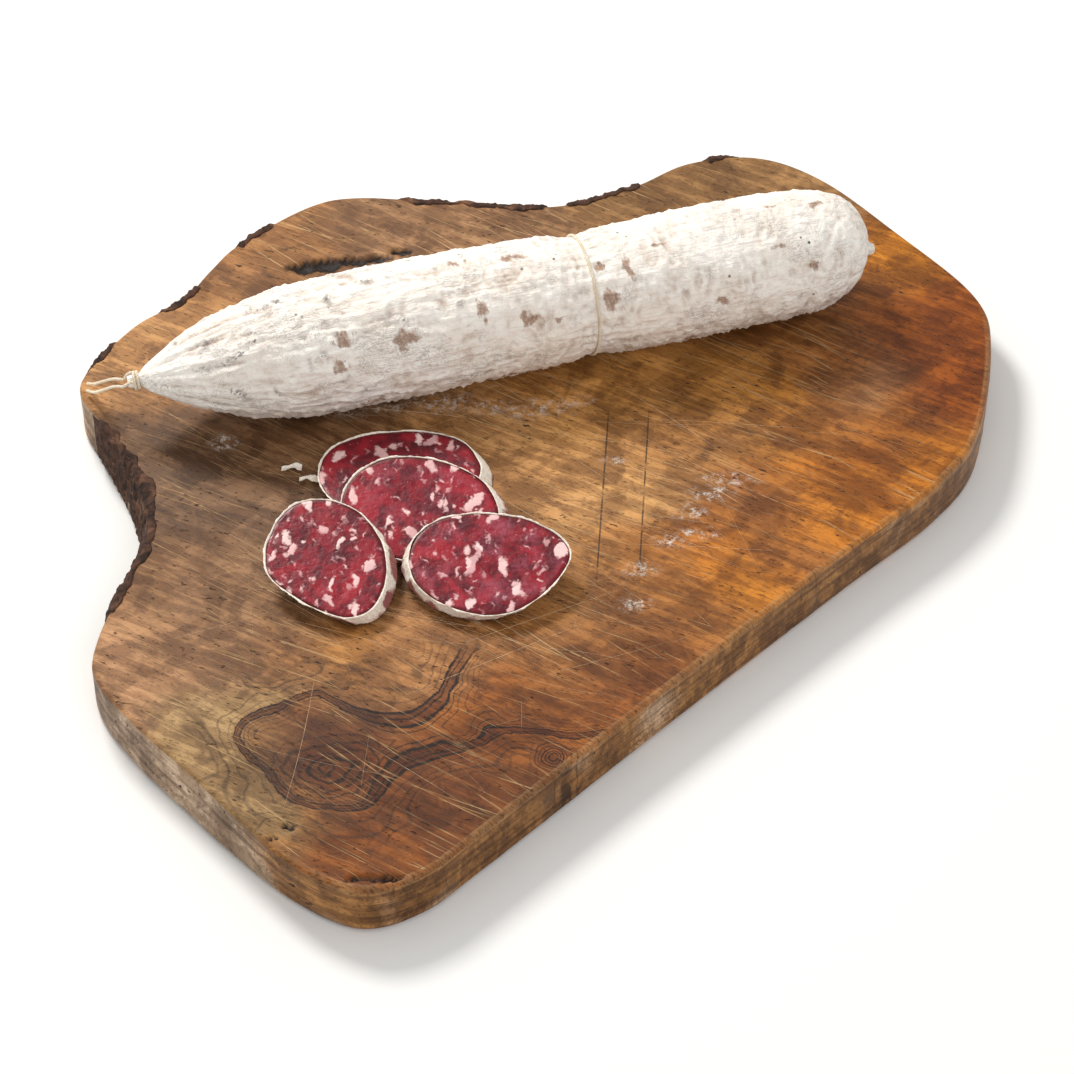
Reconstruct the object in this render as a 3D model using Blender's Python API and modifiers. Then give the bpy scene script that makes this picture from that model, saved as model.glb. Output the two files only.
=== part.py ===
"""A dry salami and four of its slices on an irregular live-edge wooden board.

Units are metres, +Z is up. The origin is under the middle of the board, on the surface that it stands on.
"""

import math

import bmesh
import bpy
import numpy as np
from mathutils import Euler, Matrix, Vector

MM = 0.001
GAP = 0.3 * MM  # clearance between touching pieces

# Board
BOARD_THICKNESS = 23.5 * MM
BOARD_EDGE_ROUND = 2 * MM
BOARD_STEPS_A_POINT = 5
# The outline of the top, clockwise from the left tip, and how far the side flares out below it,
# in millimetres. The side flares most where it is bark.
BOARD_OUTLINE = (
    (-187, 52, 0), (-184, 68, 0), (-168, 94, 0), (-150, 110, 1), (-139, 130, 1), (-128, 147, 1),
    (-100, 172, 0), (-78, 179, 0), (-40, 176, 1), (8, 173, 2), (42, 186, 1), (68, 203, 0),
    (99, 207, 0), (127, 191, 0), (156, 156, 0), (186, 114, 0), (190.5, 82, 0), (180, 29, 0),
    (160, -3, 0), (121, -41, 0), (49, -113, 0), (-18, -181, 0), (-40, -201.5, 0),
    (-62, -209, 0), (-85, -198, 0), (-105, -178, 1.5), (-128, -152, 2.5), (-151, -127, 1.5),
    (-166, -105, 0), (-166, -84, 2), (-159, -59, 5), (-152, -37, 7), (-152, -17, 6),
    (-159, 4, 5), (-175, 32, 2),
)

# Salami: its axis crosses the board at an angle, with the tied neck at the left.
SALAMI_NECK = Vector((-0.163, 0.0255, 0))
SALAMI_TURN = math.radians(17.5)
SALAMI_SIDES = 40
SALAMI_RING_STEP = 6 * MM
# Distance along the axis and radius, in millimetres.
SALAMI_PROFILE = (
    (0, 2.2), (2, 2.7), (5, 2.7), (9, 6), (25, 14.5), (42, 21.2), (56, 24.8), (72, 26.8),
    (112, 27.5), (147, 27.2), (175, 26.2), (183, 25), (189, 24.2), (195, 25), (203, 26),
    (224, 26.5), (268, 26.3), (287, 25.4), (298, 22.6), (306, 17.5), (310.5, 11.5), (312, 6.5),
    (313.5, 3.4), (316, 2.4), (317, 1),
)
# Distance along the axis, sideways offset and height of the axis over the board, in millimetres.
SALAMI_AXIS = (
    (0, 7, 23.5), (25, 4, 25.5), (60, 0.8, 27), (112, 0, 27.7), (147, 0, 27.4), (189, -0.4, 26.6),
    (224, -0.8, 26.7), (268, -0.6, 26.6), (292, -1, 26), (309, -3, 23.6), (317, -4.4, 22),
)

# Twine
TWINE_DIAMETER = 1.3 * MM
GIRTH_AT = 189 * MM
NECK_TIE_AT = 3.5 * MM
NECK_TIE_TURNS = 2
RING_STEPS = 32
# Each tail runs from the neck tie to the board's left tip: its places and heights over the board,
# in millimetres.
TAIL_ROUTES = (
    ((-166.6, 29.6, 23.4), (-171, 33, 20.5), (-177, 39, 13), (-181.5, 45.5, 6), (-185.5, 51, 2)),
    ((-166.6, 33.4, 23.8), (-171.5, 37, 21), (-177.5, 43, 14), (-182, 49.5, 7), (-185.5, 54.6, 2.6)),
)
TAIL_POINTS = 16

# Slices
SLICE_THICKNESS = 5.5 * MM
MEAT_EDGE_ROUND = 0.4 * MM
RIND_THICKNESS = 0.7 * MM
SLICE_SIDES = 48
# Each slice has the place of its middle, its lean on the slices behind it in degrees, the sideways
# run of its slanting wall and the outline of its cut face, anticlockwise from its right end. Lengths are in millimetres.
SLICES = {
    "slice_back": {
        "place": (-54.5, -1.5), "lean": (0, 0, 8), "slant": (4.4, -0.5),
        "face": ((31.5, 0), (27, 13), (14, 21.5), (-4, 24), (-19, 21.5), (-29, 14), (-32.5, 0),
                 (-27, -13), (-13, -22.5), (4, -24), (20, -20), (29, -10)),
    },
    "slice_middle": {
        "place": (-46.5, -26), "lean": (13.5, 0, 2), "slant": (4.2, -0.6),
        "face": ((30, -2), (25, 10), (13, 19), (-3, 23.5), (-18, 22), (-29, 13), (-32.5, 0),
                 (-27, -13), (-13, -22), (4, -24), (19, -21), (27, -12)),
    },
    "slice_left": {
        "place": (-84.2, -54), "lean": (12.1, 0, 0), "slant": (4, -1.2),
        "face": ((23.6, -2), (19.5, 11), (10, 22.5), (-3, 27), (-14, 24), (-21, 14), (-23.6, 1),
                 (-21, -9), (-9, -19.5), (6, -27), (17, -25), (22.8, -14)),
    },
    "slice_right": {
        "place": (-19.3, -55), "lean": (12.3, 0, -2), "slant": (-3, -0.8),
        "face": ((32.5, 3), (28, 13), (15, 21), (-3, 23.5), (-19, 20.5), (-28.5, 12), (-31.3, 0.5),
                 (-27.5, -11), (-17, -20), (-1, -24.5), (14, -21), (26, -10)),
    },
}

# Shreds of casing: their middle line on the board and their height, in millimetres.
SHREDS = {
    "casing_shred_1": ((-88.6, -1.5, 0.9), (-92, 0.2, 2.2), (-95.6, -0.4, 1)),
    "casing_shred_2": ((-96, 4.4, 0.9), (-99.4, 7.4, 2), (-103, 7, 1)),
}
SHRED_WIDTH = 2.4 * MM
SHRED_THICKNESS = 0.6 * MM

# Colour, roughness and metallic value
LOOKS = {
    "wood": ((0.33, 0.17, 0.065), 0.5, 0.0),
    "casing": ((0.86, 0.80, 0.74), 0.85, 0.0),
    "rind": ((0.83, 0.74, 0.66), 0.75, 0.0),
    "meat": ((0.31, 0.02, 0.05), 0.3, 0.0),
    "twine": ((0.84, 0.77, 0.64), 0.9, 0.0),
}


def clear_scene():
    for obj in list(bpy.data.objects):
        bpy.data.objects.remove(obj, do_unlink=True)


def material(look):
    """The Principled material of that look, made once."""
    found = bpy.data.materials.get(look)
    if found:
        return found
    colour, roughness, metallic = LOOKS[look]
    made = bpy.data.materials.new(look)
    made.use_nodes = True
    shader = made.node_tree.nodes["Principled BSDF"]
    shader.inputs["Base Color"].default_value = (*colour, 1)
    shader.inputs["Roughness"].default_value = roughness
    shader.inputs["Metallic"].default_value = metallic
    made.diffuse_color = (*colour, 1)
    return made


def add_object(name, data, look, collection):
    obj = bpy.data.objects.new(name, data)
    data.materials.append(material(look))
    collection.objects.link(obj)
    return obj


def spline_through(points, count, closed=False):
    """Points evenly spaced in parameter on a Catmull-Rom curve through the given points."""
    known = np.array(points, float)
    number = len(known)
    spans = number if closed else number - 1
    found = []
    for at in np.linspace(0, spans, count, endpoint=not closed):
        span = min(int(at), spans - 1)
        t = at - span
        around = [span - 1, span, span + 1, span + 2]
        if closed:
            around = [i % number for i in around]
        else:
            around = [min(max(i, 0), number - 1) for i in around]
        a, b, c, d = known[around]
        found.append(
            b + 0.5 * t * (c - a + t * (2 * a - 5 * b + 4 * c - d + t * (3 * (b - c) + d - a)))
        )
    return np.array(found)


def interpolate(table, at):
    """The table's other columns at that value of its first column, smoothed between its rows."""
    known = np.array(table, float)
    fine = spline_through(known, 12 * len(known))
    return [float(np.interp(at, fine[:, 0], fine[:, i])) for i in range(1, known.shape[1])]


def loft(rings):
    """A mesh with a skin over the rings, given from bottom to top or end to end, and both ends closed."""
    made = bmesh.new()
    rows = [[made.verts.new(point) for point in ring] for ring in rings]
    for row, following in zip(rows, rows[1:]):
        for i, vert in enumerate(row):
            j = (i + 1) % len(row)
            made.faces.new((vert, row[j], following[j], following[i]))
    made.faces.new(rows[0][::-1])
    made.faces.new(rows[-1])
    bmesh.ops.recalc_face_normals(made, faces=made.faces)
    return made


def to_mesh(name, made):
    data = bpy.data.meshes.new(name)
    made.to_mesh(data)
    made.free()
    return data


def smooth(data, sharp_angle=math.radians(35)):
    data.shade_smooth()
    data.set_sharp_from_angle(angle=sharp_angle)


def add_board(collection):
    """A flat slab centred on the origin, whose side flares out below its top, with cut-off edges."""
    outline = spline_through(BOARD_OUTLINE, BOARD_STEPS_A_POINT * len(BOARD_OUTLINE), closed=True) * MM
    flat, flare = outline[:, :2], outline[:, 2:]
    ahead = np.roll(flat, -1, axis=0) - np.roll(flat, 1, axis=0)
    outward = np.column_stack((-ahead[:, 1], ahead[:, 0])) / np.linalg.norm(ahead, axis=1)[:, None]
    middle = (flat.min(axis=0) + flat.max(axis=0)) / 2
    low, high = BOARD_EDGE_ROUND, BOARD_THICKNESS - BOARD_EDGE_ROUND
    levels = ((0, 1, low), (low, 1, 0), (high, 0, 0), (BOARD_THICKNESS, 0, low))
    rings = []
    for height, flared, inset in levels:
        ring = flat - middle + outward * (flare * flared - inset)
        rings.append([(x, y, height) for x, y in ring])
    data = to_mesh("board", loft(rings))
    smooth(data)
    add_object("board", data, "wood", collection)


def salami_direction():
    return Vector((math.cos(SALAMI_TURN), math.sin(SALAMI_TURN), 0))


def salami_centre(along):
    """The centre of the salami at that distance from its neck."""
    sideways, height = interpolate(SALAMI_AXIS, along / MM)
    across = Vector((-math.sin(SALAMI_TURN), math.cos(SALAMI_TURN), 0))
    base = SALAMI_NECK + salami_direction() * along + across * sideways * MM
    return base + Vector((0, 0, BOARD_THICKNESS + GAP + height * MM))


def salami_frame(along):
    """A placing matrix on the salami's axis, with its local Z along the axis."""
    step = 0.5 * MM
    forward = (salami_centre(along + step) - salami_centre(along - step)).normalized()
    side = Vector((0, 0, 1)).cross(forward).normalized()
    up = forward.cross(side)
    matrix = Matrix((side, up, forward)).transposed().to_4x4()
    matrix.translation = salami_centre(along)
    return matrix


def salami_stations():
    """Distances of the rings along the axis: even along the body, and closer where it narrows."""
    ends = [row[0] * MM for row in SALAMI_PROFILE]
    found = [ends[0]]
    for start, end in zip(ends, ends[1:]):
        steps = max(1, round((end - start) / SALAMI_RING_STEP))
        found.extend(start + (end - start) * (i + 1) / steps for i in range(steps))
    return found


def add_salami(collection):
    rings = []
    for along in salami_stations():
        radius = interpolate(SALAMI_PROFILE, along / MM)[0] * MM
        place = salami_frame(along)
        turns = (math.tau * i / SALAMI_SIDES for i in range(SALAMI_SIDES))
        rings.append(
            [place @ Vector((radius * math.cos(a), radius * math.sin(a), 0)) for a in turns]
        )
    data = to_mesh("salami", loft(rings))
    smooth(data)
    add_object("salami", data, "casing", collection)


def add_twine_ring(name, along, turns, collection):
    """Turns of twine lying side by side round the salami, as one turned ring."""
    inner = interpolate(SALAMI_PROFILE, along / MM)[0] * MM + GAP
    lobe = TWINE_DIAMETER / 2
    width = TWINE_DIAMETER * turns
    arc_steps = 6
    profile = []
    for turn in range(turns):
        middle = width / 2 - lobe - turn * TWINE_DIAMETER
        first = 0 if turn == 0 else 1
        for i in range(first, arc_steps + 1):
            angle = math.pi / 2 - math.pi * i / arc_steps
            radius = inner + lobe + lobe * math.cos(angle)
            profile.append((radius, 0, middle + lobe * math.sin(angle)))
    profile.append((inner, 0, -width / 2 + lobe / 2))
    profile.append((inner, 0, width / 2 - lobe / 2))
    made = bmesh.new()
    verts = [made.verts.new(point) for point in profile]
    for i, vert in enumerate(verts):
        made.edges.new((vert, verts[(i + 1) % len(verts)]))
    obj = add_object(name, to_mesh(name, made), "twine", collection)
    screw = obj.modifiers.new("turn", "SCREW")
    screw.axis = "Z"
    screw.steps = RING_STEPS
    screw.render_steps = RING_STEPS
    screw.use_merge_vertices = True
    screw.merge_threshold = 0.00001
    screw.use_smooth_shade = True
    obj.matrix_world = salami_frame(along)


def add_tail(name, route, collection):
    curve = bpy.data.curves.new(name, "CURVE")
    curve.dimensions = "3D"
    curve.bevel_depth = TWINE_DIAMETER / 2
    curve.bevel_resolution = 2
    curve.use_fill_caps = True
    points = spline_through(route, TAIL_POINTS) * MM + np.array((0, 0, BOARD_THICKNESS))
    spline = curve.splines.new("POLY")
    spline.points.add(len(points) - 1)
    for point, place in zip(spline.points, points):
        point.co = (*place, 1)
    add_object(name, curve, "twine", collection)


def slanted_outline(spec, outset, height):
    """The slice's outline at that height, moved outwards: the cut crosses the salami at a slant."""
    face = spline_through(spec["face"], SLICE_SIDES, closed=True) * MM
    ahead = np.roll(face, -1, axis=0) - np.roll(face, 1, axis=0)
    outward = np.column_stack((ahead[:, 1], -ahead[:, 0])) / np.linalg.norm(ahead, axis=1)[:, None]
    shift = np.array(spec["slant"]) * MM * (1 - height / SLICE_THICKNESS)
    return [(x, y, height) for x, y in face + outward * outset + shift]


def ring_loft(rings):
    """A closed hoop with a skin over the rings, the last of which joins the first."""
    made = bmesh.new()
    rows = [[made.verts.new(point) for point in ring] for ring in rings]
    for row, following in zip(rows, rows[1:] + rows[:1]):
        for i, vert in enumerate(row):
            j = (i + 1) % len(row)
            made.faces.new((vert, row[j], following[j], following[i]))
    bmesh.ops.recalc_face_normals(made, faces=made.faces)
    return made


def add_slice(name, spec, collection):
    holder = bpy.data.objects.new(name, None)
    collection.objects.link(holder)
    lean = Euler([math.radians(turn) for turn in spec["lean"]])
    foot = slanted_outline(spec, GAP + RIND_THICKNESS, 0)
    lift = -min((lean.to_matrix() @ Vector(point)).z for point in foot)
    x, y = spec["place"]
    holder.location = (x * MM, y * MM, BOARD_THICKNESS + GAP + lift)
    holder.rotation_euler = lean

    body = loft([slanted_outline(spec, 0, height) for height in (0, SLICE_THICKNESS)])
    meat = add_object(name + "_meat", to_mesh("meat", body), "meat", collection)
    meat.parent = holder
    edge = meat.modifiers.new("edge", "BEVEL")
    edge.width = MEAT_EDGE_ROUND
    edge.limit_method = "ANGLE"
    edge.angle_limit = math.radians(45)

    inner = GAP
    outer = GAP + RIND_THICKNESS
    corners = ((inner, 0), (outer, 0), (outer, SLICE_THICKNESS), (inner, SLICE_THICKNESS))
    hoop = ring_loft([slanted_outline(spec, outset, height) for outset, height in corners])
    rind = add_object(name + "_rind", to_mesh("rind", hoop), "rind", collection)
    rind.parent = holder


def add_shred(name, line, collection):
    """A curled strip of casing, as an open ribbon with a thickness."""
    points = spline_through(line, 7) * MM
    ribbon = bmesh.new()
    previous = None
    for i, place in enumerate(points):
        ahead = points[min(i + 1, len(points) - 1)] - points[max(i - 1, 0)]
        across = Vector((-ahead[1], ahead[0], 0)).normalized()
        taper = 1 - 0.5 * i / (len(points) - 1)
        middle = Vector(place) + Vector((0, 0, BOARD_THICKNESS))
        pair = [ribbon.verts.new(middle + across * side * SHRED_WIDTH / 2 * taper) for side in (-1, 1)]
        if previous:
            ribbon.faces.new((previous[0], pair[0], pair[1], previous[1]))
        previous = pair
    shred = add_object(name, to_mesh(name, ribbon), "rind", collection)
    skin = shred.modifiers.new("skin", "SOLIDIFY")
    skin.thickness = SHRED_THICKNESS
    skin.offset = 0


def main():
    clear_scene()
    collection = bpy.data.collections.new("salami_on_board")
    bpy.context.scene.collection.children.link(collection)
    add_board(collection)
    add_salami(collection)
    add_twine_ring("girth_twine", GIRTH_AT, 1, collection)
    add_twine_ring("neck_twine", NECK_TIE_AT, NECK_TIE_TURNS, collection)
    for number, route in enumerate(TAIL_ROUTES, 1):
        add_tail(f"twine_tail_{number}", route, collection)
    for name, spec in SLICES.items():
        add_slice(name, spec, collection)
    for name, line in SHREDS.items():
        add_shred(name, line, collection)


main()
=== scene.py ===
"""The fine surfaces, materials, light and camera for a salami with slices on a live-edge board."""
import math

import bpy
import numpy as np
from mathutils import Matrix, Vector


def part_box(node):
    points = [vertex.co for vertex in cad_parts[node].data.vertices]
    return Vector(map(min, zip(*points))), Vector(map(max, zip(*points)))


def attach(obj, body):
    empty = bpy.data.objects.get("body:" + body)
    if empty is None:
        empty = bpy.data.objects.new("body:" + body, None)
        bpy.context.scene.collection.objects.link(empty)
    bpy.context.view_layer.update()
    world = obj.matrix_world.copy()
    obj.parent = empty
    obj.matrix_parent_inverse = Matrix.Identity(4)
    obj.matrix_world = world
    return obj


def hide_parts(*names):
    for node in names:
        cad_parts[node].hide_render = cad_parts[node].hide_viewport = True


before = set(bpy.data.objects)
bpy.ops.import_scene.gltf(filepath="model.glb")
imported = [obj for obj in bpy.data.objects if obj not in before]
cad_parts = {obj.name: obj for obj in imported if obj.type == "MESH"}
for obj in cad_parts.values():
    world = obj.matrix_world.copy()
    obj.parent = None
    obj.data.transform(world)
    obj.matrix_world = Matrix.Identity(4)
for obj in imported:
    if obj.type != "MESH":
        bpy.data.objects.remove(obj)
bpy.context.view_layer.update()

MM = 0.001
TAU = math.tau
BOARD_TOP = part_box("board")[1].z

# ---------------------------------------------------------------- noise and curves

GRADIENTS = np.random.default_rng(7).normal(size=(256, 3))
GRADIENTS /= np.linalg.norm(GRADIENTS, axis=1)[:, None]
# Large factors that scatter whole numbers, and a shift that keeps noise away from the origin.
SCATTER = (73856093, 19349663, 83492791)
SEED_SCATTER = 2654435761
LAST_SCATTER = 1274126177
NOISE_SHIFT = 512.37
NOISE_GAIN = 1.7


def hashed(cells, seed):
    """A number from 0 to 255 for each whole-number cell."""
    h = np.bitwise_xor.reduce(cells * SCATTER, axis=-1) ^ seed * SEED_SCATTER
    h = ((h & 0xFFFFFFFF) ^ (h >> 13 & 0x7FFFF)) * LAST_SCATTER & 0xFFFFFFFF
    return (h ^ h >> 15) & 255


def noise(points, size, seed=0):
    """Smooth noise, about -1 to 1, with features of that size."""
    place = np.asarray(points, float) / size + NOISE_SHIFT
    cell = np.floor(place).astype(np.int64)
    part = place - cell
    weight = part * part * part * (part * (part * 6 - 15) + 10)
    total = np.zeros(place.shape[:-1])
    for corner in np.ndindex(2, 2, 2):
        corner = np.array(corner)
        slope = GRADIENTS[hashed(cell + corner, seed)]
        share = np.prod(np.where(corner, weight, 1 - weight), axis=-1)
        total += ((part - corner) * slope).sum(axis=-1) * share
    return total * NOISE_GAIN


def fractal(points, size, octaves=3, seed=0):
    """Noise with finer and weaker noise on top of it."""
    parts = [noise(points, size / 2**i, seed + i) / 2**i for i in range(octaves)]
    return sum(parts) / (2 - 2.0 ** (1 - octaves))


def creases(points, size, octaves=2, seed=0):
    """0 to 1, highest along thin winding lines."""
    lines = (1 - np.abs(noise(points, size / 1.8**i, seed + i)) for i in range(octaves))
    return sum(line**3 / 2**i for i, line in enumerate(lines)) / 1.5


def smoothstep(low, high, value):
    """0 up to low, 1 from high on and smooth between. It falls where low is the larger."""
    t = np.clip((value - low) / (high - low), 0, 1)
    return t * t * (3 - 2 * t)


def blend(first, second, share):
    """The first where share is 0, and the second where it is 1."""
    return first * (1 - share) + second * share


def unit(rows):
    """Each row made one long."""
    return rows / np.linalg.norm(rows, axis=1)[:, None]


def turned(angle, side, up):
    """Directions at each angle from side towards up."""
    return np.cos(angle)[..., None] * side + np.sin(angle)[..., None] * up


def running_length(points):
    """How far along the line through the points each one lies."""
    steps = np.linalg.norm(np.diff(points, axis=0), axis=1)
    return np.concatenate([[0], np.cumsum(steps)])


def nearest(points, place):
    """The number of the point that is nearest to the place in plan."""
    return int(np.argmin(((points[:, :2] - place[:2]) ** 2).sum(axis=1)))


def angle_of(points):
    """Each point's angle round the origin in plan."""
    return np.arctan2(points[:, 1], points[:, 0])


def at_height(line, height):
    """The line's points moved to that height."""
    return np.column_stack([line[:, :2], np.full(len(line), height)])


def wandered(flat, amount, size, octaves, seed):
    """Places in plan, moved about by noise."""
    plan = at_height(flat, 0)
    return flat + amount * np.column_stack([fractal(plan, size, octaves, seed + i) for i in (0, 4)])


def spline_through(points, count, closed=False):
    """Points evenly spaced in parameter on a Catmull-Rom curve through the given points."""
    known = np.array(points, float)
    number = len(known)
    spans = number if closed else number - 1
    at = np.linspace(0, spans, count, endpoint=not closed)
    span = np.minimum(at.astype(int), spans - 1)
    t = (at - span)[:, None]
    around = [span - 1, span, span + 1, span + 2]
    if closed:
        a, b, c, d = (known[i % number] for i in around)
    else:
        a, b, c, d = (known[np.clip(i, 0, number - 1)] for i in around)
    return b + 0.5 * t * (c - a + t * (2 * a - 5 * b + 4 * c - d + t * (3 * (b - c) + d - a)))


def spaced_along(points, count, closed=False):
    """Points at even distances along the line through many close points."""
    line = np.vstack([points, points[:1]]) if closed else np.asarray(points)
    run = running_length(line)
    at = np.linspace(0, run[-1], count, endpoint=not closed)
    return np.column_stack([np.interp(at, run, line[:, i]) for i in range(line.shape[1])])


# ---------------------------------------------------------------- meshes


def grid_faces(rows, columns, wrap_rows=False):
    """The quads between rings of points: each ring is closed, and the last can join the first."""
    r, c = np.meshgrid(np.arange(rows if wrap_rows else rows - 1), np.arange(columns), indexing="ij")
    r2, c2 = (r + 1) % rows, (c + 1) % columns
    quads = np.stack([r * columns + c, r * columns + c2, r2 * columns + c2, r2 * columns + c], axis=-1)
    return quads.reshape(-1, 4)


def make_mesh(name, node, points, faces, material, attributes=None, smooth=True):
    """A piece that stands for the node, with named values on its points, and rides on the body."""
    mesh = bpy.data.meshes.new(name)
    mesh.from_pydata(np.asarray(points).tolist(), [], [list(map(int, face)) for face in faces])
    mesh.validate()
    for key, values in (attributes or {}).items():
        values = np.asarray(values, np.float32)
        if values.ndim == 1:
            mesh.attributes.new(key, "FLOAT", "POINT").data.foreach_set("value", values)
        else:
            colour = np.column_stack([values, np.ones(len(values))]).astype(np.float32)
            mesh.attributes.new(key, "FLOAT_COLOR", "POINT").data.foreach_set("color", colour.ravel())
    if smooth:
        mesh.shade_smooth()
    mesh.materials.append(material)
    piece = bpy.data.objects.new(name, mesh)
    bpy.context.scene.collection.objects.link(piece)
    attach(piece, "root")
    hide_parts(node)
    return piece


def closed_grid(name, node, grid, material, attributes):
    """A piece made of rings of points, closed at both ends by fans."""
    rows, columns = grid.shape[:2]
    faces = grid_faces(rows, columns).tolist()
    ends = np.array([grid[0].mean(axis=0), grid[-1].mean(axis=0)])
    points = np.vstack([grid.reshape(-1, 3), ends])
    first, last = rows * columns, rows * columns + 1
    base = (rows - 1) * columns
    for i in range(columns):
        j = (i + 1) % columns
        faces.append((j, i, first))
        faces.append((base + i, base + j, last))
    spread = {}
    for key, values in attributes.items():
        tail = values[[0, -1]].mean(axis=1)
        spread[key] = np.concatenate([values.reshape(rows * columns, *values.shape[2:]), tail])
    make_mesh(name, node, points, faces, material, spread)


def frames_along(path):
    """For each point of a path: two directions across it that don't twist."""
    ahead = unit(np.gradient(path, axis=0))
    side = np.cross(ahead[0], (0, 0, 1))
    sides = []
    for direction in ahead:
        side = side - direction * (side @ direction)
        side = side / np.linalg.norm(side)
        sides.append(side)
    sides = np.array(sides)
    return sides, np.cross(ahead, sides)


# ---------------------------------------------------------------- material nodes


class Paint:
    """A Principled material, built with short calls. Its base colour grows layer by layer."""

    def __init__(self, name, **sockets):
        self.material = bpy.data.materials.new(name)
        self.material.use_nodes = True
        self.tree = self.material.node_tree
        self.shader = self.tree.nodes["Principled BSDF"]
        for socket, value in sockets.items():
            self.shader.inputs[socket.replace("_", " ")].default_value = value
        self.here = self.node("TexCoord").outputs["Object"]
        self.base = None

    def node(self, kind, inputs=None, **settings):
        made = self.tree.nodes.new("ShaderNode" + kind)
        for key, value in settings.items():
            setattr(made, key, value)
        for key, value in (inputs or {}).items():
            if isinstance(value, bpy.types.NodeSocket):
                self.tree.links.new(value, made.inputs[key])
            else:
                made.inputs[key].default_value = value
        return made

    def value(self, name):
        """A named value on the piece's points."""
        return self.node("Attribute", attribute_name=name).outputs["Fac"]

    def stretched(self, turn, scale):
        """The place on the piece, scaled along and across lines at that angle in plan."""
        rotated = self.node("VectorRotate", {"Vector": self.here, "Angle": math.radians(-turn)}).outputs[0]
        return self.node("Mapping", {"Vector": rotated, "Scale": scale}).outputs[0]

    def noise(self, scale, detail=2.0, rough=0.5, vector=None, distortion=0.0):
        inputs = {"Vector": vector or self.here, "Scale": scale, "Detail": detail}
        inputs.update({"Roughness": rough, "Distortion": distortion})
        return self.node("TexNoise", inputs).outputs["Fac"]

    def cells(self, scale):
        """The distance from the nearest of scattered points."""
        return self.node("TexVoronoi", {"Vector": self.here, "Scale": scale}).outputs["Distance"]

    def level(self, value, low, high, bottom=0.0, top=1.0):
        """bottom where the value is low, top where it is high, and smooth between."""
        inputs = {"Value": value, "From Min": low, "From Max": high, "To Min": bottom, "To Max": top}
        return self.node("MapRange", inputs, interpolation_type="SMOOTHSTEP").outputs[0]

    def math(self, operation, a, b=0.0):
        return self.node("Math", {0: a, 1: b}, operation=operation).outputs[0]

    def times(self, a, b):
        return self.math("MULTIPLY", a, b)

    def plus(self, a, b):
        return self.math("ADD", a, b)

    def minus(self, a, b):
        return self.math("SUBTRACT", a, b)

    def either(self, a, b):
        return self.math("MAXIMUM", a, b)

    def mix(self, factor, a, b, mode="MIX"):
        made = self.node("Mix", data_type="RGBA", blend_type=mode)
        for key, value in ((0, factor), (6, a), (7, b)):
            if isinstance(value, bpy.types.NodeSocket):
                self.tree.links.new(value, made.inputs[key])
            else:
                made.inputs[key].default_value = value if key == 0 else (*value, 1)
        return made.outputs[2]

    def tinted(self, tint):
        """The base colour so far, multiplied by a tint."""
        return self.mix(1.0, self.base, tint, "MULTIPLY")

    def over(self, factor, colour):
        """Lays a colour over the base colour."""
        self.base = self.mix(factor, self.base, colour)

    def scaled(self, scale):
        """The place on the piece, scaled along its axes."""
        return self.node("Mapping", {"Vector": self.here, "Scale": scale}).outputs[0]

    def lines(self, value, levels):
        """Thin lines where the value passes each level: (level, half width, strength)."""
        total = None
        for at, width, strength in levels:
            off = self.math("ABSOLUTE", self.minus(value, at))
            line = self.level(off, width * 0.25, width, strength, 0.0)
            total = self.either(total, line) if total else line
        return total

    def bump(self, height, distance, strength, normal=None):
        inputs = {"Height": height, "Distance": distance, "Strength": strength}
        if normal:
            inputs["Normal"] = normal
        return self.node("Bump", inputs).outputs[0]

    def set(self, socket, value):
        self.tree.links.new(value, self.shader.inputs[socket])

    def finished(self, normal=None):
        """The material, once its base colour and normal are joined to the shader."""
        self.set("Base Color", self.base)
        if normal:
            self.set("Normal", normal)
        return self.material


# ---------------------------------------------------------------- camera, light and floor

VIEW_TARGET = Vector((-0.001, -0.032, 0.0235))
VIEW_ELEVATION = math.radians(45)
VIEW_DISTANCE = 1.25
FOCAL_LENGTH = 106.9
SENSOR_WIDTH = 36.0
WORLD_COLOUR = (1.0, 0.985, 0.96, 1)
WORLD_STRENGTH = 0.62
LIGHT_TARGET = Vector((0, 0, 0.02))
# Each light: its name, place, diameter, power and colour.
LIGHTS = (
    ("key", (-0.55, 0.75, 1.05), 0.4, 16, (1.0, 0.97, 0.93)),
    ("fill", (0.5, -1.1, 1.0), 1.0, 5.5, (0.97, 0.98, 1.0)),
)
FLOOR_COLOUR = (0.86, 0.86, 0.85, 1)
FLOOR_REACH = 6
FLOOR_DROP = 0.5 * MM


def add_camera():
    data = bpy.data.cameras.new("camera")
    data.lens = FOCAL_LENGTH
    data.sensor_width = SENSOR_WIDTH
    data.clip_start = 0.01
    camera = bpy.data.objects.new("camera", data)
    bpy.context.scene.collection.objects.link(camera)
    back = Vector((0, -math.cos(VIEW_ELEVATION), math.sin(VIEW_ELEVATION)))
    camera.location = VIEW_TARGET + back * VIEW_DISTANCE
    camera.rotation_euler = (math.pi / 2 - VIEW_ELEVATION, 0, 0)
    bpy.context.scene.camera = camera


def add_area_light(name, place, size, power, colour):
    data = bpy.data.lights.new(name, "AREA")
    data.shape = "DISK"
    data.size = size
    data.energy = power
    data.color = colour
    light = bpy.data.objects.new(name, data)
    bpy.context.scene.collection.objects.link(light)
    light.location = place
    light.rotation_euler = (LIGHT_TARGET - Vector(place)).to_track_quat("-Z", "Y").to_euler()


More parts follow.
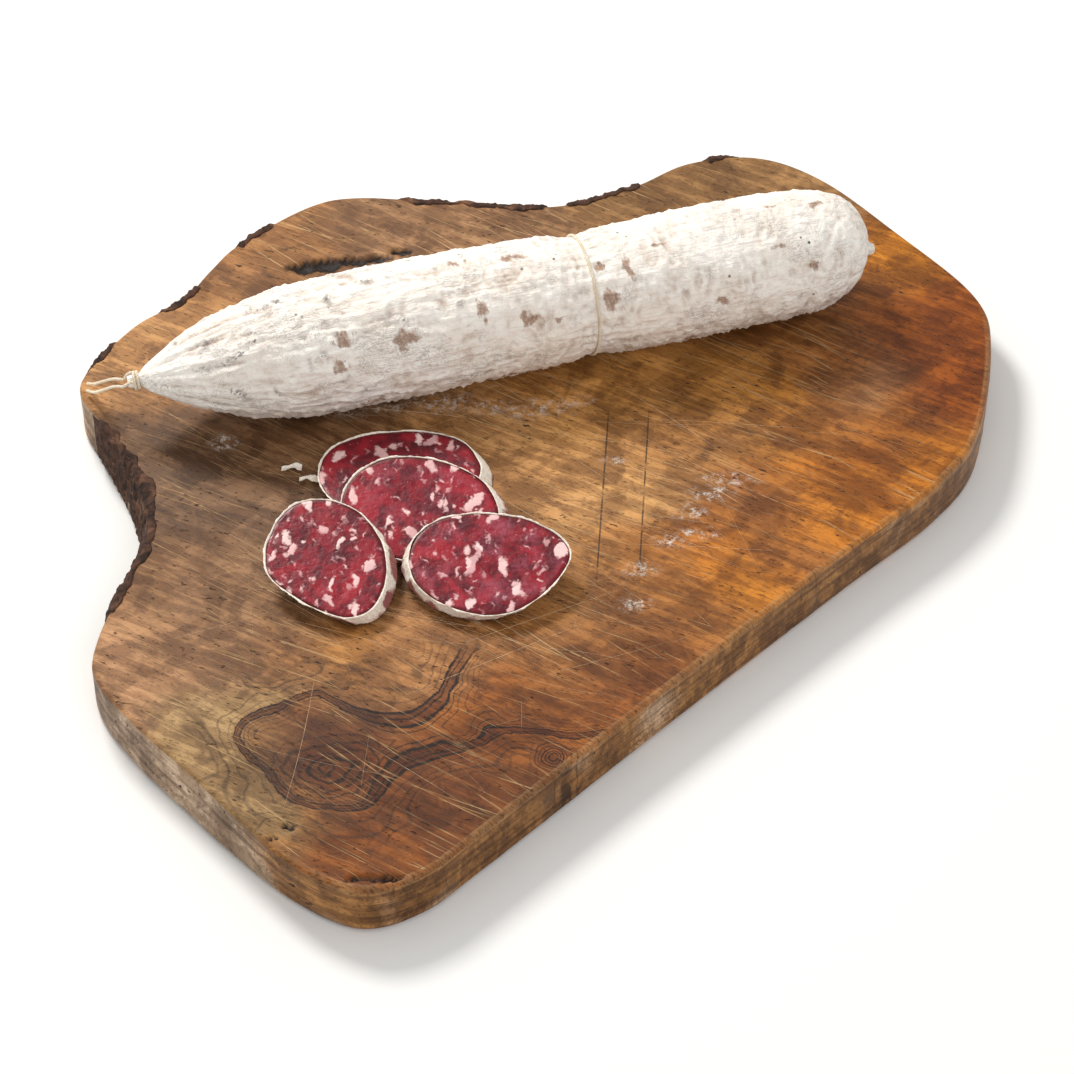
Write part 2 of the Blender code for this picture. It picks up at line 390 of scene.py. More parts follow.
def add_stage():
    """Soft light from all round, two lamps and a plain pale floor."""
    world = bpy.data.worlds.new("studio")
    bpy.context.scene.world = world
    world.use_nodes = True
    background = world.node_tree.nodes["Background"]
    background.inputs["Color"].default_value = WORLD_COLOUR
    background.inputs["Strength"].default_value = WORLD_STRENGTH
    for light in LIGHTS:
        add_area_light(*light)
    mesh = bpy.data.meshes.new("floor")
    corners = [(x * FLOOR_REACH, y * FLOOR_REACH, 0) for x, y in ((-1, -1), (1, -1), (1, 1), (-1, 1))]
    mesh.from_pydata(corners, [], [(0, 1, 2, 3)])
    mesh.materials.append(Paint("floor", Roughness=0.9, Base_Color=FLOOR_COLOUR).material)
    floor = bpy.data.objects.new("floor", mesh)
    floor.location.z = -FLOOR_DROP
    bpy.context.scene.collection.objects.link(floor)
    bpy.context.scene.view_settings.view_transform = "Standard"


# ---------------------------------------------------------------- twine

TWINE_DIAMETER = 1.3 * MM
# The tails' routes: places and heights over the board, in millimetres.
TAIL_ROUTES = (
    ((-166.6, 29.6, 23.4), (-171, 33, 20.5), (-177, 39, 13), (-181.5, 45.5, 6), (-185.5, 51, 2)),
    ((-166.6, 33.4, 23.8), (-171.5, 37, 21), (-177.5, 43, 14), (-182, 49.5, 7), (-185.5, 54.6, 2.6)),
)
# From the neck tie to where each tail begins, past the gathered end of the casing.
LEAD_ROUTES = (
    ((-161.9, 30.2, 25.6), (-163.4, 29.8, 25.7), (-165.0, 29.5, 24.9), (-166.5, 29.7, 23.5)),
    ((-161.9, 34.2, 27.0), (-163.4, 34.3, 26.9), (-165.3, 34.2, 26.0), (-166.5, 33.5, 24.0)),
)
PLIES = 3
PLY_SHARE = 0.29
PLY_SIDES = 8
PLY_SWELL = 0.12
TAIL_POINTS = 120
LEAD_POINTS = 24
GIRTH_POINTS = 900
NECK_POINTS = 160
TWIST_PITCH = 4.2 * MM


def twine_paint():
    paint = Paint("twine", Roughness=0.9, Sheen_Weight=0.25)
    fibre = paint.noise(2600, 4, 0.7)
    tint = paint.noise(140, 3)
    paler = paint.mix(paint.level(tint, 0.35, 0.65), (0.80, 0.68, 0.50), (0.90, 0.83, 0.70))
    paint.base = paint.mix(paint.level(fibre, 0.3, 0.6), (0.52, 0.40, 0.26), paler)
    return paint.finished(paint.bump(fibre, 0.0002, 0.8))


def twine_path(route, fine, count):
    """Evenly spaced points on a smooth line along a route over the board."""
    return spaced_along(spline_through(route, fine) * MM + (0, 0, BOARD_TOP), count)


def ply_grids(path, side, up, turn, swells):
    """Rings of points round each ply of twine along the path, twisted by turn at each point."""
    ply_radius = TWINE_DIAMETER * PLY_SHARE
    orbit = TWINE_DIAMETER / 2 - ply_radius
    ring = turned(TAU * np.arange(PLY_SIDES)[None] / PLY_SIDES, side[:, None], up[:, None])
    grids = []
    for ply, swell in enumerate(swells):
        centre = path + orbit * turned(turn + TAU * ply / PLIES, side, up)
        grids.append(centre[:, None] + (ply_radius * swell)[:, None, None] * ring)
    return grids


def twine_points(path, seed=0):
    """The plies of an open length of twine, each a little uneven."""
    run = running_length(path)
    swells = []
    for ply in range(PLIES):
        place = np.column_stack([run, np.full_like(run, ply), np.zeros_like(run)])
        swells.append(1 + PLY_SWELL * noise(place, 3 * MM, seed + ply))
    return ply_grids(path, *frames_along(path), TAU * run / TWIST_PITCH, swells)


def join_grids(grids, wrap_rows=False):
    """Points and faces of several tubes in one mesh, each closed at its ends or joined to itself."""
    points, faces, start = [], [], 0
    for grid in grids:
        rows, columns = grid.shape[:2]
        points.append(grid.reshape(-1, 3))
        faces.extend((grid_faces(rows, columns, wrap_rows) + start).tolist())
        if not wrap_rows:
            faces.append([start + i for i in range(columns)][::-1])
            faces.append([start + (rows - 1) * columns + i for i in range(columns)])
        start += rows * columns
    return np.vstack(points), faces


def add_tails(material):
    """The two free ends of the neck twine."""
    for number, route in enumerate(TAIL_ROUTES, 1):
        path = twine_path(route, 200, TAIL_POINTS)
        points, faces = join_grids(twine_points(path, seed=number))
        tail = make_mesh(f"tail_strand_{number}", f"twine_tail_{number}", points, faces, material)


# ---------------------------------------------------------------- salami

# The salami's shape, as its solid has it. The neck's place is in metres and the rest in millimetres:
# the profile is distance along and radius, and the axis is distance along, sideways and height.
SALAMI_NECK = np.array((-0.163, 0.0255, 0))
SALAMI_TURN = math.radians(17.5)
SALAMI_PROFILE = (
    (0, 2.2), (2, 2.7), (5, 2.7), (9, 6), (25, 14.5), (42, 21.2), (56, 24.8), (72, 26.8),
    (112, 27.5), (147, 27.2), (175, 26.2), (183, 25), (189, 24.2), (195, 25), (203, 26),
    (224, 26.5), (268, 26.3), (287, 25.4), (298, 22.6), (306, 17.5), (310.5, 11.5), (312, 6.5),
    (313.5, 3.4), (316, 2.4), (317, 1),
)
SALAMI_AXIS = (
    (0, 7, 23.5), (25, 4, 25.5), (60, 0.8, 27), (112, 0, 27.7), (147, 0, 27.4), (189, -0.4, 26.6),
    (224, -0.8, 26.7), (268, -0.6, 26.6), (292, -1, 26), (309, -3, 23.6), (317, -4.4, 22),
)
SALAMI_LENGTH = 317
SKIN_RADIUS = 26.0  # of the body, in millimetres, to measure lengths round it
REST_GAP = 0.3 * MM
BODY_LIFT = 0.12 * MM
FLATTENING = 0.25 * MM
CREASE_MEAN = 0.45
GIRTH_AT = 189
NECK_TIE_AT = 3.5
NECK_RADIUS = 2.7 * MM
SALAMI_ROWS = 500
SALAMI_COLUMNS = 196

# Bare brown patches of the casing: distance along, angle up from the front side, length and width.
BARE_PATCHES = (
    (85, 44, 13, 8), (108, 34, 16, 9), (80, 22, 9, 7), (141, 43, 8, 10), (160, 30, 12, 6),
    (136, 95, 14, 5), (158, 90, 16, 5), (195, 33, 9, 14), (193, 66, 5, 8), (204, 57, 5, 12),
    (172, 24, 6, 5), (271, 90, 7, 6), (282, 25, 6, 8), (268, 50, 8, 5), (218, 72, 8, 4),
    (288, 85, 6, 5), (240, 10, 12, 6), (60, 150, 14, 8), (120, 170, 12, 8), (200, 160, 10, 9),
    (255, 140, 9, 8), (150, -40, 14, 8), (230, -35, 12, 7), (95, -30, 14, 6), (290, 150, 8, 7),
)
# A grey hook-shaped mark near the neck: distance along, and round from the front side, in millimetres.
HOOK_MARK = ((38, 19), (43, 21.5), (48, 24.5), (51, 27), (50, 29.5), (47, 29))


def smoothed_table(table, at):
    """The table's other columns where its first one has these values, on a smooth curve."""
    fine = spline_through(table, 40 * len(table))
    return [np.interp(at, fine[:, 0], fine[:, i]) for i in range(1, fine.shape[1])]


def salami_lines(along):
    """Centre, radius and two directions across, at distances in millimetres along the salami."""
    sideways, height = smoothed_table(SALAMI_AXIS, along)
    radius = smoothed_table(SALAMI_PROFILE, along)[0] * MM
    forward = np.array((math.cos(SALAMI_TURN), math.sin(SALAMI_TURN), 0))
    across = np.array((-math.sin(SALAMI_TURN), math.cos(SALAMI_TURN), 0))
    centre = SALAMI_NECK + np.outer(along * MM, forward) + np.outer(sideways * MM, across)
    centre[:, 2] = BOARD_TOP + REST_GAP + height * MM
    ahead = unit(np.gradient(centre, axis=0))
    side = unit(np.cross((0, 0, 1), ahead))
    return centre, radius, side, np.cross(ahead, side)


def salami_stations(count):
    """Distances along the salami that are even along its outer side, so that the ends are fine too."""
    dense = np.linspace(0, SALAMI_LENGTH, 4000)
    run = running_length(np.column_stack([dense, smoothed_table(SALAMI_PROFILE, dense)[0]]))
    return np.interp(np.linspace(0, run[-1], count), run, dense)


def casing_paint():
    """White bloom over brown skin, with painted shade in its hollows and on its lower side, soot, bare
    patches, dots and seams.
    """
    paint = Paint("casing", Roughness=0.88, Subsurface_Weight=0.08,
                  Subsurface_Radius=(1.0, 0.6, 0.45), Subsurface_Scale=0.002)
    fine = paint.noise(900, 5, 0.65)
    cloud = paint.noise(55, 4, 0.6)
    grit = paint.noise(350, 4, 0.7)
    paint.base = paint.mix(paint.level(cloud, 0.35, 0.7), (0.90, 0.83, 0.75), (0.97, 0.93, 0.87))
    # Painted shade in the hollows of the casing's relief.
    hollow = paint.times(paint.value("hollow"), paint.level(grit, 0.3, 0.62, 0.45, 1.0))
    paint.over(hollow, (0.55, 0.43, 0.35))
    # Painted shade on the lower side of the salami.
    under = paint.value("under")
    paint.over(under, (0.60, 0.42, 0.31))
    soot = paint.times(paint.value("soot"), paint.level(grit, 0.46, 0.6))
    paint.over(soot, (0.24, 0.21, 0.20))
    hatch = paint.noise(1, 4, 0.7, paint.stretched(107, (160, 520, 340)))
    edge = paint.plus(paint.value("bare"), paint.times(hatch, 1.5))
    brown = paint.mix(paint.level(fine, 0.35, 0.65), (0.21, 0.10, 0.06), (0.45, 0.28, 0.18))
    paint.over(paint.level(edge, 1.15, 1.7, 0.0, 0.85), brown)
    dots = paint.cells(230)
    sparse = paint.level(paint.noise(60, 2), 0.6, 0.68)
    dot = paint.times(paint.level(dots, 0.10, 0.2, 1.0, 0.0), sparse)
    paint.over(dot, (0.08, 0.07, 0.065))
    pleats = paint.noise(1, 4, 0.6, paint.stretched(17.5, (42, 330, 330)), 0.5)
    crackle = paint.noise(150, 4, 0.55, distortion=0.9)
    some = paint.level(paint.noise(48, 3, 0.6), 0.45, 0.62)
    pleat_seams = paint.lines(pleats, ((0.5, 0.02, 0.5), (0.58, 0.012, 0.4), (0.42, 0.012, 0.35)))
    crackle_seams = paint.lines(crackle, ((0.5, 0.016, 0.4), (0.6, 0.014, 0.5)))
    seams = paint.times(paint.either(pleat_seams, crackle_seams), some)
    paint.over(seams, (0.20, 0.16, 0.14))
    powder = paint.bump(fine, 0.00025, 0.6)
    waves = paint.plus(paint.level(pleats, 0.3, 0.7), paint.level(crackle, 0.3, 0.7))
    folds = paint.bump(waves, 0.0009, 0.5, powder)
    return paint.finished(paint.bump(grit, 0.0005, 0.6, folds))


def bell(along, middle, reach):
    """1 at the middle, falling to 0 on both sides of it."""
    return np.exp(-(((along - middle) / reach) ** 2))


def casing_relief(skin, angle, left):
    """How far the casing stands out from its smooth profile, in millimetres."""
    along = skin[..., 2]
    low = smoothstep(0.25, -0.6, np.sin(angle))
    body = smoothstep(6, 40, along) * (1 - smoothstep(300, 314, along))
    warp = skin + 3 * np.stack([noise(skin, 14, 31 + i) for i in range(3)], axis=-1)
    relief = 0.8 * fractal(skin, 24, 3, 11) + 0.4 * fractal(skin, 9, 2, 21)
    relief += (left + 0.2) * (creases(warp / (1, 1, 9), 5.2, 2, 41) - CREASE_MEAN)
    cross = creases(warp / (3, 3, 1), 4.6, 2, 51) - CREASE_MEAN
    relief += (0.8 + 0.6 * low - 0.45 * left) * cross
    relief += 0.6 * (creases(warp, 5.5, 2, 61) - CREASE_MEAN) + 0.22 * fractal(warp, 3.4, 3, 65)
    relief -= 1.1 * np.clip(fractal(skin, 13, 2, 71) - 0.25, 0, 1)
    relief *= body
    # The neck gathers into folds that run together at the tie.
    folds = np.abs(np.sin(angle * 6.5 + 1.6 * noise(skin / (1, 1, 4), 15, 81)))
    fine_folds = np.abs(np.sin(angle * 13 + 2.2 * noise(skin / (1, 1, 3), 9, 83)))
    gather = (1 - smoothstep(12, 78, along)) * smoothstep(2, 20, along) * np.clip(along / 30, 0.15, 1)
    relief += gather * (1.5 * (folds - 0.55) + 0.6 * (fine_folds - 0.5))
    # Small puckers run out from under the girth twine.
    pucker = np.exp(-np.abs(along - GIRTH_AT) / 8) * (1 - bell(along, GIRTH_AT, 1.2))
    relief += 0.55 * pucker * np.sin(angle * 31 + 3 * noise(skin, 10, 91))
    # The blunt end wrinkles round its nub.
    end = smoothstep(286, 306, along) * (1 - smoothstep(312, 315, along))
    relief += 0.7 * end * (np.abs(np.sin(angle * 7 + 2 * noise(skin, 8, 95))) - 0.5)
    # Under the twine the skin keeps to its profile.
    return relief * (1 - bell(along, NECK_TIE_AT, 2.6)) * (1 - bell(along, GIRTH_AT, 1.3))


def bare_field(skin, front, finer):
    """1 at the hearts of the bare patches. Front is in degrees up from the front side."""
    along = skin[..., 2]
    wander = [2.2 * noise(skin, 5, seed) for seed in (121, 123)]
    bare = np.zeros_like(along)
    for at, lift, long, wide in BARE_PATCHES:
        off = np.radians((front - lift + 180) % 360 - 180) * SKIN_RADIUS
        u = (along - at + wander[0]) / (long / 2)
        v = (off + wander[1]) / (wide / 2)
        bare = np.maximum(bare, smoothstep(1.5, 0.1, np.hypot(u, v) - 0.55 * finer))
    return bare


def hook_gap(along, arc):
    """Distance in millimetres from the hook-shaped mark on the unrolled skin."""
    gap = np.full(along.shape, np.inf)
    for (at_a, arc_a), (at_b, arc_b) in zip(HOOK_MARK[:-1], HOOK_MARK[1:]):
        span = np.array((at_b - at_a, arc_b - arc_a))
        share = np.clip(((along - at_a) * span[0] + (arc - arc_a) * span[1]) / (span @ span), 0, 1)
        gap = np.minimum(gap, np.hypot(along - at_a - share * span[0], arc - arc_a - share * span[1]))
    return gap


def casing_values(skin, angle, left, relief):
    """What the casing's paint reads: where painted shade goes in its hollows and on its lower side, and where
    it is sooty and bare.
    """
    front = (np.degrees(np.pi - angle) + 180) % 360 - 180
    finer = fractal(skin, 2.6, 2, 125)
    # Painted shade where the relief sinks in.
    hollow = smoothstep(0.0, -0.95, relief - 0.75 * fractal(skin, 24, 1, 11))
    # Painted shade on the lower side, fading out up round the salami.
    under = 0.55 * smoothstep(-0.15, -0.85, np.sin(angle) + 0.25 * noise(skin[:1], 12, 101))
    under = under * (0.6 + 0.4 * noise(skin, 9, 103))
    soot = smoothstep(0.12, 0.6, fractal(skin, 10, 3, 111)) * (0.35 + 0.65 * left)
    hook = smoothstep(1.5, 0.5, hook_gap(skin[..., 2], np.radians(front) * SKIN_RADIUS) + 0.5 * finer)
    soot = np.clip(np.maximum(soot, 1.6 * hook), 0, 1)
    return {"hollow": hollow, "under": under, "soot": soot, "bare": bare_field(skin, front, finer)}


def add_salami(material):
    """The casing as rings of points along the salami."""
    along = salami_stations(SALAMI_ROWS)
    centre, radius, side, up = salami_lines(along)
    angle = TAU * np.arange(SALAMI_COLUMNS) / SALAMI_COLUMNS
    outward = turned(angle[None], side[:, None], up[:, None])
    place = centre[:, None] + outward * radius[:, None, None]
    # A cylinder in millimetres, so that noise on it has no seam.
    rounded = (SKIN_RADIUS * np.cos(angle), SKIN_RADIUS * np.sin(angle))
    skin = np.stack(np.broadcast_arrays(*rounded, along[:, None]), axis=-1)
    left = 1 - smoothstep(90, 210, skin[..., 2])
    relief = casing_relief(skin, angle, left)
    place = place + outward * (relief * MM)[..., None]
    # The underside flattens just over the board.
    over = np.abs(place[..., 2] - BOARD_TOP - BODY_LIFT)
    flattened = BOARD_TOP + BODY_LIFT + FLATTENING * (1 - np.exp(-over / MM))
    place[..., 2] = np.maximum(place[..., 2], flattened)
    values = casing_values(skin, angle, left, relief)
    closed_grid("salami_casing", "salami", place, material, values)


def ring_path(at, radius, count):
    """A ring of points round the salami at that distance along it."""
    stations = np.array((at - 0.5, at, at + 0.5))
    centre, _, side, up = (values[1] for values in salami_lines(stations))
    return centre + radius * turned(TAU * np.arange(count) / count, side, up)


def ring_ply_grids(at, radius, count, phase):
    """The plies of a closed ring of twine, twisted a whole number of times."""
    path = ring_path(at, radius, count)
    out = (path - path.mean(axis=0)) / radius
    ahead = unit(np.roll(path, -1, axis=0) - np.roll(path, 1, axis=0))
    twists = round(TAU * radius / TWIST_PITCH)
    turn = TAU * twists * np.arange(count) / count + phase
    return ply_grids(path, out, np.cross(ahead, out), turn, np.ones((PLIES, count)))


def add_bindings(material):
    """The loop round the body, and the wraps at the neck with their leads to the tails."""
    girth_radius = smoothed_table(SALAMI_PROFILE, GIRTH_AT)[0] * MM + TWINE_DIAMETER / 2
    points, faces = join_grids(ring_ply_grids(GIRTH_AT, girth_radius, GIRTH_POINTS, 0), wrap_rows=True)
    make_mesh("girth_loop", "girth_twine", points, faces, material)
    wraps, leads = [], []
    neck_radius = NECK_RADIUS + TWINE_DIAMETER / 2
    for phase, side in enumerate((-1, 1)):
        at = NECK_TIE_AT + side * TWINE_DIAMETER / 2 / MM
        wraps.extend(ring_ply_grids(at, neck_radius, NECK_POINTS, phase))
    for route in LEAD_ROUTES:
        leads.extend(twine_points(twine_path(route, 60, LEAD_POINTS)))
    points, faces = join_grids(wraps, wrap_rows=True)
    lead_points, lead_faces = join_grids(leads)
    faces.extend([start + len(points) for start in face] for face in lead_faces)
    make_mesh("neck_wraps", "neck_twine", np.vstack([points, lead_points]), faces, material)


# ---------------------------------------------------------------- slices

SLICE_COLUMNS = 420
SLICE_ROWS = 88
SLICE_RADIUS = 28  # about that of a slice, in millimetres, to lay noise round it
PLANE_GAP = 0.05 * MM  # points this near to a plane lie in it
WALL_LEVELS = (0.06, 0.2, 0.4, 0.6, 0.8, 0.94)
WALL_BULGE = 0.4 * MM
RIND_START = 0.47 * MM
RIND_LEAST, RIND_MOST = 0.14 * MM, 1.1 * MM
# Across the ring of rind: 1 on its outer side and 0 on its inner side, and how far down.
RIND_PROFILE = [(1, down) for down in (1.0, 0.93, 0.8, 0.65, 0.5, 0.35, 0.2, 0.08, 0.0)]
RIND_PROFILE += [(0.5, -0.03), (0, 0.0), (0, 0.08), (0, 0.3), (0, 0.6), (0, 0.97), (0.5, 1.0)]
SHRED_THICKNESS = 0.45 * MM
LARGE_FAT = 0.2  # the share of the pieces of fat that are large
# Each slice: the seed of its fat, how pale its meat is, how many pieces of fat it holds, how far
# its foot draws in at the front (mm), its size against the solid's, and its shift in plan (mm).
SLICE_LOOKS = {
    "slice_back": (5, 0.15, 90, 0.0, (1, 1), (-0.6, 0)),
    "slice_middle": (17, 0.45, 100, 1.0, (0.98, 1), (0.8, 0)),
    "slice_left": (29, 0.12, 96, 2.1, (0.985, 0.985), (2.0, 0.2)),
    "slice_right": (43, 0.85, 110, 1.9, (0.965, 0.95), (-0.6, -1.0)),
}


def unique_points(node):
    """The points of the node's solid, each one once."""
    points = np.array([vertex.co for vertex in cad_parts[node].data.vertices], float)
    return np.unique(np.round(points, 7), axis=0)


def slice_frame(node):
    """Centre of the cut face, two directions along it and its normal, from the slice's solid."""
    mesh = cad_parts[node].data
    cut = max((face for face in mesh.polygons if face.normal.z > 0.9), key=lambda face: face.area)
    normal = np.array(cut.normal)
    points = unique_points(node)
    height = points @ normal
    rim = points[height > height.max() - PLANE_GAP]
    foot = points[height < height.min() + PLANE_GAP]
    centre = rim.mean(axis=0)
    along = np.array((1.0, 0, 0)) - normal * normal[0]
    along /= np.linalg.norm(along)
    axes = np.array((along, np.cross(normal, along), normal))
    return centre, axes, (rim - centre) @ axes.T, (foot - centre) @ axes.T


def ordered(ring, count):
    """The ring's points in order round it, as a smooth closed line of count points."""
    ring = ring[np.argsort(angle_of(ring - ring.mean(axis=0)))]
    fine = spaced_along(spline_through(ring, 24 * len(ring), closed=True), count, closed=True)
    return np.roll(fine, -np.argmin(np.abs(angle_of(fine - fine.mean(axis=0)))), axis=0)


def fat_field(flat, seed, count, half):
    """Two fields: how far inside a piece of fat each point is, in millimetres, and how white it is."""
    rng = np.random.default_rng(seed)
    space = np.column_stack([flat, np.full(len(flat), seed * 7.3)])
    bent = flat + 1.3 * np.column_stack([noise(space, 3.2, seed), noise(space, 3.2, seed + 1)])
    bent = bent + 0.5 * np.column_stack([noise(space, 1.1, seed + 2), noise(space, 1.1, seed + 3)])
    field = np.full(len(flat), -9.0)
    white = np.zeros(len(flat))
    placed = []
    for number in range(count):
        spot = rng.uniform(-1, 1, 2) * half
        large = number < count * LARGE_FAT
        size = rng.uniform(1.9, 3.3) if large else rng.uniform(0.4, 1.4)
        if any(np.hypot(*(spot - other)) < size + other_size for other, other_size in placed):
            size *= 0.55
        placed.append((spot, size))
        long, wide = size * rng.uniform(0.9, 1.7), size * rng.uniform(0.4, 0.8)
        turn = rng.uniform(0.9, 2.6)
        u = (bent - spot) @ (math.cos(turn), math.sin(turn)) / long
        v = (bent - spot) @ (-math.sin(turn), math.cos(turn)) / wide
        power = rng.uniform(1.5, 2.6)
        reach = (np.abs(u) ** power + np.abs(v) ** power) ** (1 / power)
        inside = (1 - reach) * wide
        strength = rng.uniform(0.55, 1.0) if large else rng.uniform(0.2, 0.9)
        white = np.where(inside > field, strength, white)
        field = np.maximum(field, inside)
    return field, white


def meat_paint():
    """Lean meat in reds, with pieces of fat, a haze where it is pale and a dark rim."""
    paint = Paint("cut_meat", Specular_IOR_Level=0.28, Coat_Weight=0.05, Coat_Roughness=0.12,
                  Subsurface_Weight=0.08, Subsurface_Radius=(1.0, 0.2, 0.15), Subsurface_Scale=0.001)
    grain = paint.noise(520, 5, 0.65, distortion=0.6)
    blot = paint.noise(150, 3, 0.6)
    broad = paint.noise(65, 3, 0.6, distortion=0.5)
    fibre = paint.noise(1, 4, 0.6, paint.stretched(-60, (240, 900, 500)))
    paint.base = paint.mix(paint.level(blot, 0.36, 0.64), (0.085, 0.0015, 0.008), (0.25, 0.004, 0.014))
    paint.over(paint.level(broad, 0.50, 0.64, 0.0, 0.7), (0.37, 0.010, 0.024))
    paint.over(paint.level(grain, 0.55, 0.76, 0.0, 0.45), (0.40, 0.03, 0.05))
    paint.over(paint.level(fibre, 0.54, 0.74, 0.0, 0.45), (0.04, 0.001, 0.006))
    haze = paint.times(paint.value("haze"), paint.level(grain, 0.35, 0.6, 0.25, 1.0))
    paint.over(haze, (0.33, 0.07, 0.105))
    paint.over(paint.value("rim"), (0.10, 0.002, 0.006))
    edge = paint.plus(paint.value("fat"), paint.times(paint.minus(grain, 0.5), 1.6))
    blush = paint.mix(paint.level(blot, 0.35, 0.65), (0.55, 0.17, 0.20), (0.68, 0.30, 0.32))
    strength = paint.value("white")
    cover = paint.times(paint.level(edge, -0.35, 0.5), paint.level(strength, 0.1, 0.8, 0.45, 1.0))
    paint.over(cover, paint.mix(strength, blush, (0.84, 0.60, 0.58)))
    specks = paint.level(paint.noise(700, 2, 0.5), 0.68, 0.76, 0.0, 0.5)
    paint.over(specks, (0.55, 0.22, 0.25))
    paint.set("Roughness", paint.level(grain, 0.3, 0.7, 0.32, 0.5))
    pits = paint.bump(paint.level(paint.noise(260, 3, 0.6), 0.3, 0.62), 0.0003, 0.3)
    return paint.finished(paint.bump(grain, 0.0002, 0.3, pits))


def rind_paint():
    """White bloom, stained red low down and on the inside."""
    paint = Paint("slice_rind", Roughness=0.85, Subsurface_Weight=0.08, Subsurface_Scale=0.001)
    fine = paint.noise(1100, 5, 0.65)
    blot = paint.noise(170, 4, 0.6)
    paint.base = paint.mix(paint.level(fine, 0.3, 0.65), (0.74, 0.60, 0.46), (0.97, 0.92, 0.84))
    stain = paint.plus(paint.value("inner"), paint.times(blot, 0.8))
    paint.over(paint.level(stain, 0.66, 0.92, 0.0, 0.9), (0.22, 0.02, 0.02))
    return paint.finished(paint.bump(paint.noise(500, 4, 0.6), 0.0005, 0.7))


def cut_relief(space, fat, seed, share):
    """How far the cut face stands over its plane, in millimetres, row by row from its middle."""
    relief = 0.16 * smoothstep(0, 0.5, fat) + 0.22 * fractal(space, 5, 3, seed)
    relief -= 0.25 * smoothstep(0.4, 0.9, fractal(space, 2.2, 2, seed + 5))
    sag = 0.25 * fractal(space, 30, 1, seed + 9)
    return 0.6 * relief + sag - 0.12 * smoothstep(0.965, 1.0, share)[:, None]


def add_slice(name, meat_material, rind_material):
    """The meat as one grid of rings, from the middle of its cut face to the middle of its underside."""
    seed, pale, fat_count, tuck, scale, shift = SLICE_LOOKS[name]
    centre, axes, rim, foot = slice_frame(name + "_meat")
    rim = ordered(rim, SLICE_COLUMNS) * (*scale, 1)
    foot = ordered(foot, SLICE_COLUMNS) * (*scale, 1)
    centre = centre + np.array((*shift, 0)) * MM
    thick = -foot[:, 2].mean()
    ahead = np.gradient(rim, axis=0)
    out = unit(np.column_stack([ahead[:, 1], -ahead[:, 0], np.zeros(len(rim))]))
    circle = np.column_stack([rim[:, :2] / MM, np.full(len(rim), seed)])
    rim = rim + out * (0.35 * MM * fractal(circle, 9, 3, seed + 21))[:, None]
    foot = foot - out * (tuck * MM * smoothstep(0.3, -0.7, out[:, 1]))[:, None]

    share = np.linspace(0.012, 1, SLICE_ROWS) ** 0.85
    rows = [rim * k for k in share]
    rows += [blend(rim, foot, down) + out * WALL_BULGE for down in WALL_LEVELS]
    rows += [blend(foot, foot.mean(axis=0), k) for k in (0.0, 0.03, 0.3, 0.6, 0.9)]
    grid = np.array(rows)
    space = grid / MM
    half = np.abs(rim[:, :2]).max(axis=0) / MM
    fields = fat_field(space[..., :2].reshape(-1, 2), seed, fat_count, half)
    fat, white = (field.reshape(grid.shape[:2]) for field in fields)
    top = slice(0, SLICE_ROWS)
    grid[top, :, 2] += cut_relief(space[top], fat[top], seed, share) * MM
    distance = np.zeros(grid.shape[:2])
    distance[top] = np.outer(1 - share, np.linalg.norm(rim[:, :2], axis=1)) / MM
    rim_dark = smoothstep(1.6, 0.2, distance + 0.7 * noise(space, 3, seed + 11)) * 0.85
    haze = pale * smoothstep(-0.3, 0.7, fractal(space, 9, 3, seed + 13)) * smoothstep(0.5, 3, distance)
    values = {"fat": fat, "white": white, "rim": rim_dark, "haze": haze}
    closed_grid(name + "_cut", name + "_meat", grid @ axes + centre, meat_material, values)
    add_rind(name, rim, foot, out, (centre, axes), seed, thick, rind_material)


def add_rind(name, rim, foot, out, place, seed, thick, material):
    """The ring of casing round a slice, with a ragged upper lip."""
    columns = len(rim)
    turn = TAU * np.arange(columns) / columns
    circle = np.column_stack([np.cos(turn), np.sin(turn), np.zeros(columns)]) * SLICE_RADIUS
    ragged = fractal(circle, 5, 3, seed + 31)
    peel = smoothstep(0.15, 0.8, noise(circle, 16, seed + 33))
    thickness = (0.48 + 0.45 * noise(circle, 6, seed + 35) + 0.3 * noise(circle, 1.8, seed + 36)) * MM
    thickness = np.clip(thickness, RIND_LEAST, RIND_MOST)
    blotches = 0.35 * smoothstep(0.1, 0.6, noise(circle, 9, seed + 39))
    rows, stains = [], []
    for outside, down in RIND_PROFILE:
        push = RIND_START + thickness * outside + peel * (1 - down) ** 2 * 0.5 * MM
        stain = np.full(columns, 0.5 if outside == 0 and down > 0.05 else 0.0)
        if outside == 1:
            rough = fractal(at_height(circle, down * thick / MM), 3, 3, seed + 37)
            push = push + 0.22 * MM * rough * min(1.0, 4 * (1 - down) + 0.2)
            stain = 0.45 * down + blotches * smoothstep(0, 0.4, down)
        row = blend(rim, foot, down) + out * push[:, None]
        row[:, 2] += (1 - down) * (0.3 * ragged + 0.12) * MM
        rows.append(row)
        stains.append(stain)
    centre, axes = place
    points = (np.array(rows) @ axes + centre).reshape(-1, 3)
    faces = grid_faces(len(rows), columns, wrap_rows=True)[:, ::-1]
    values = {"inner": np.array(stains).ravel()}
    make_mesh(name + "_skin", name + "_rind", points, faces, material, values)


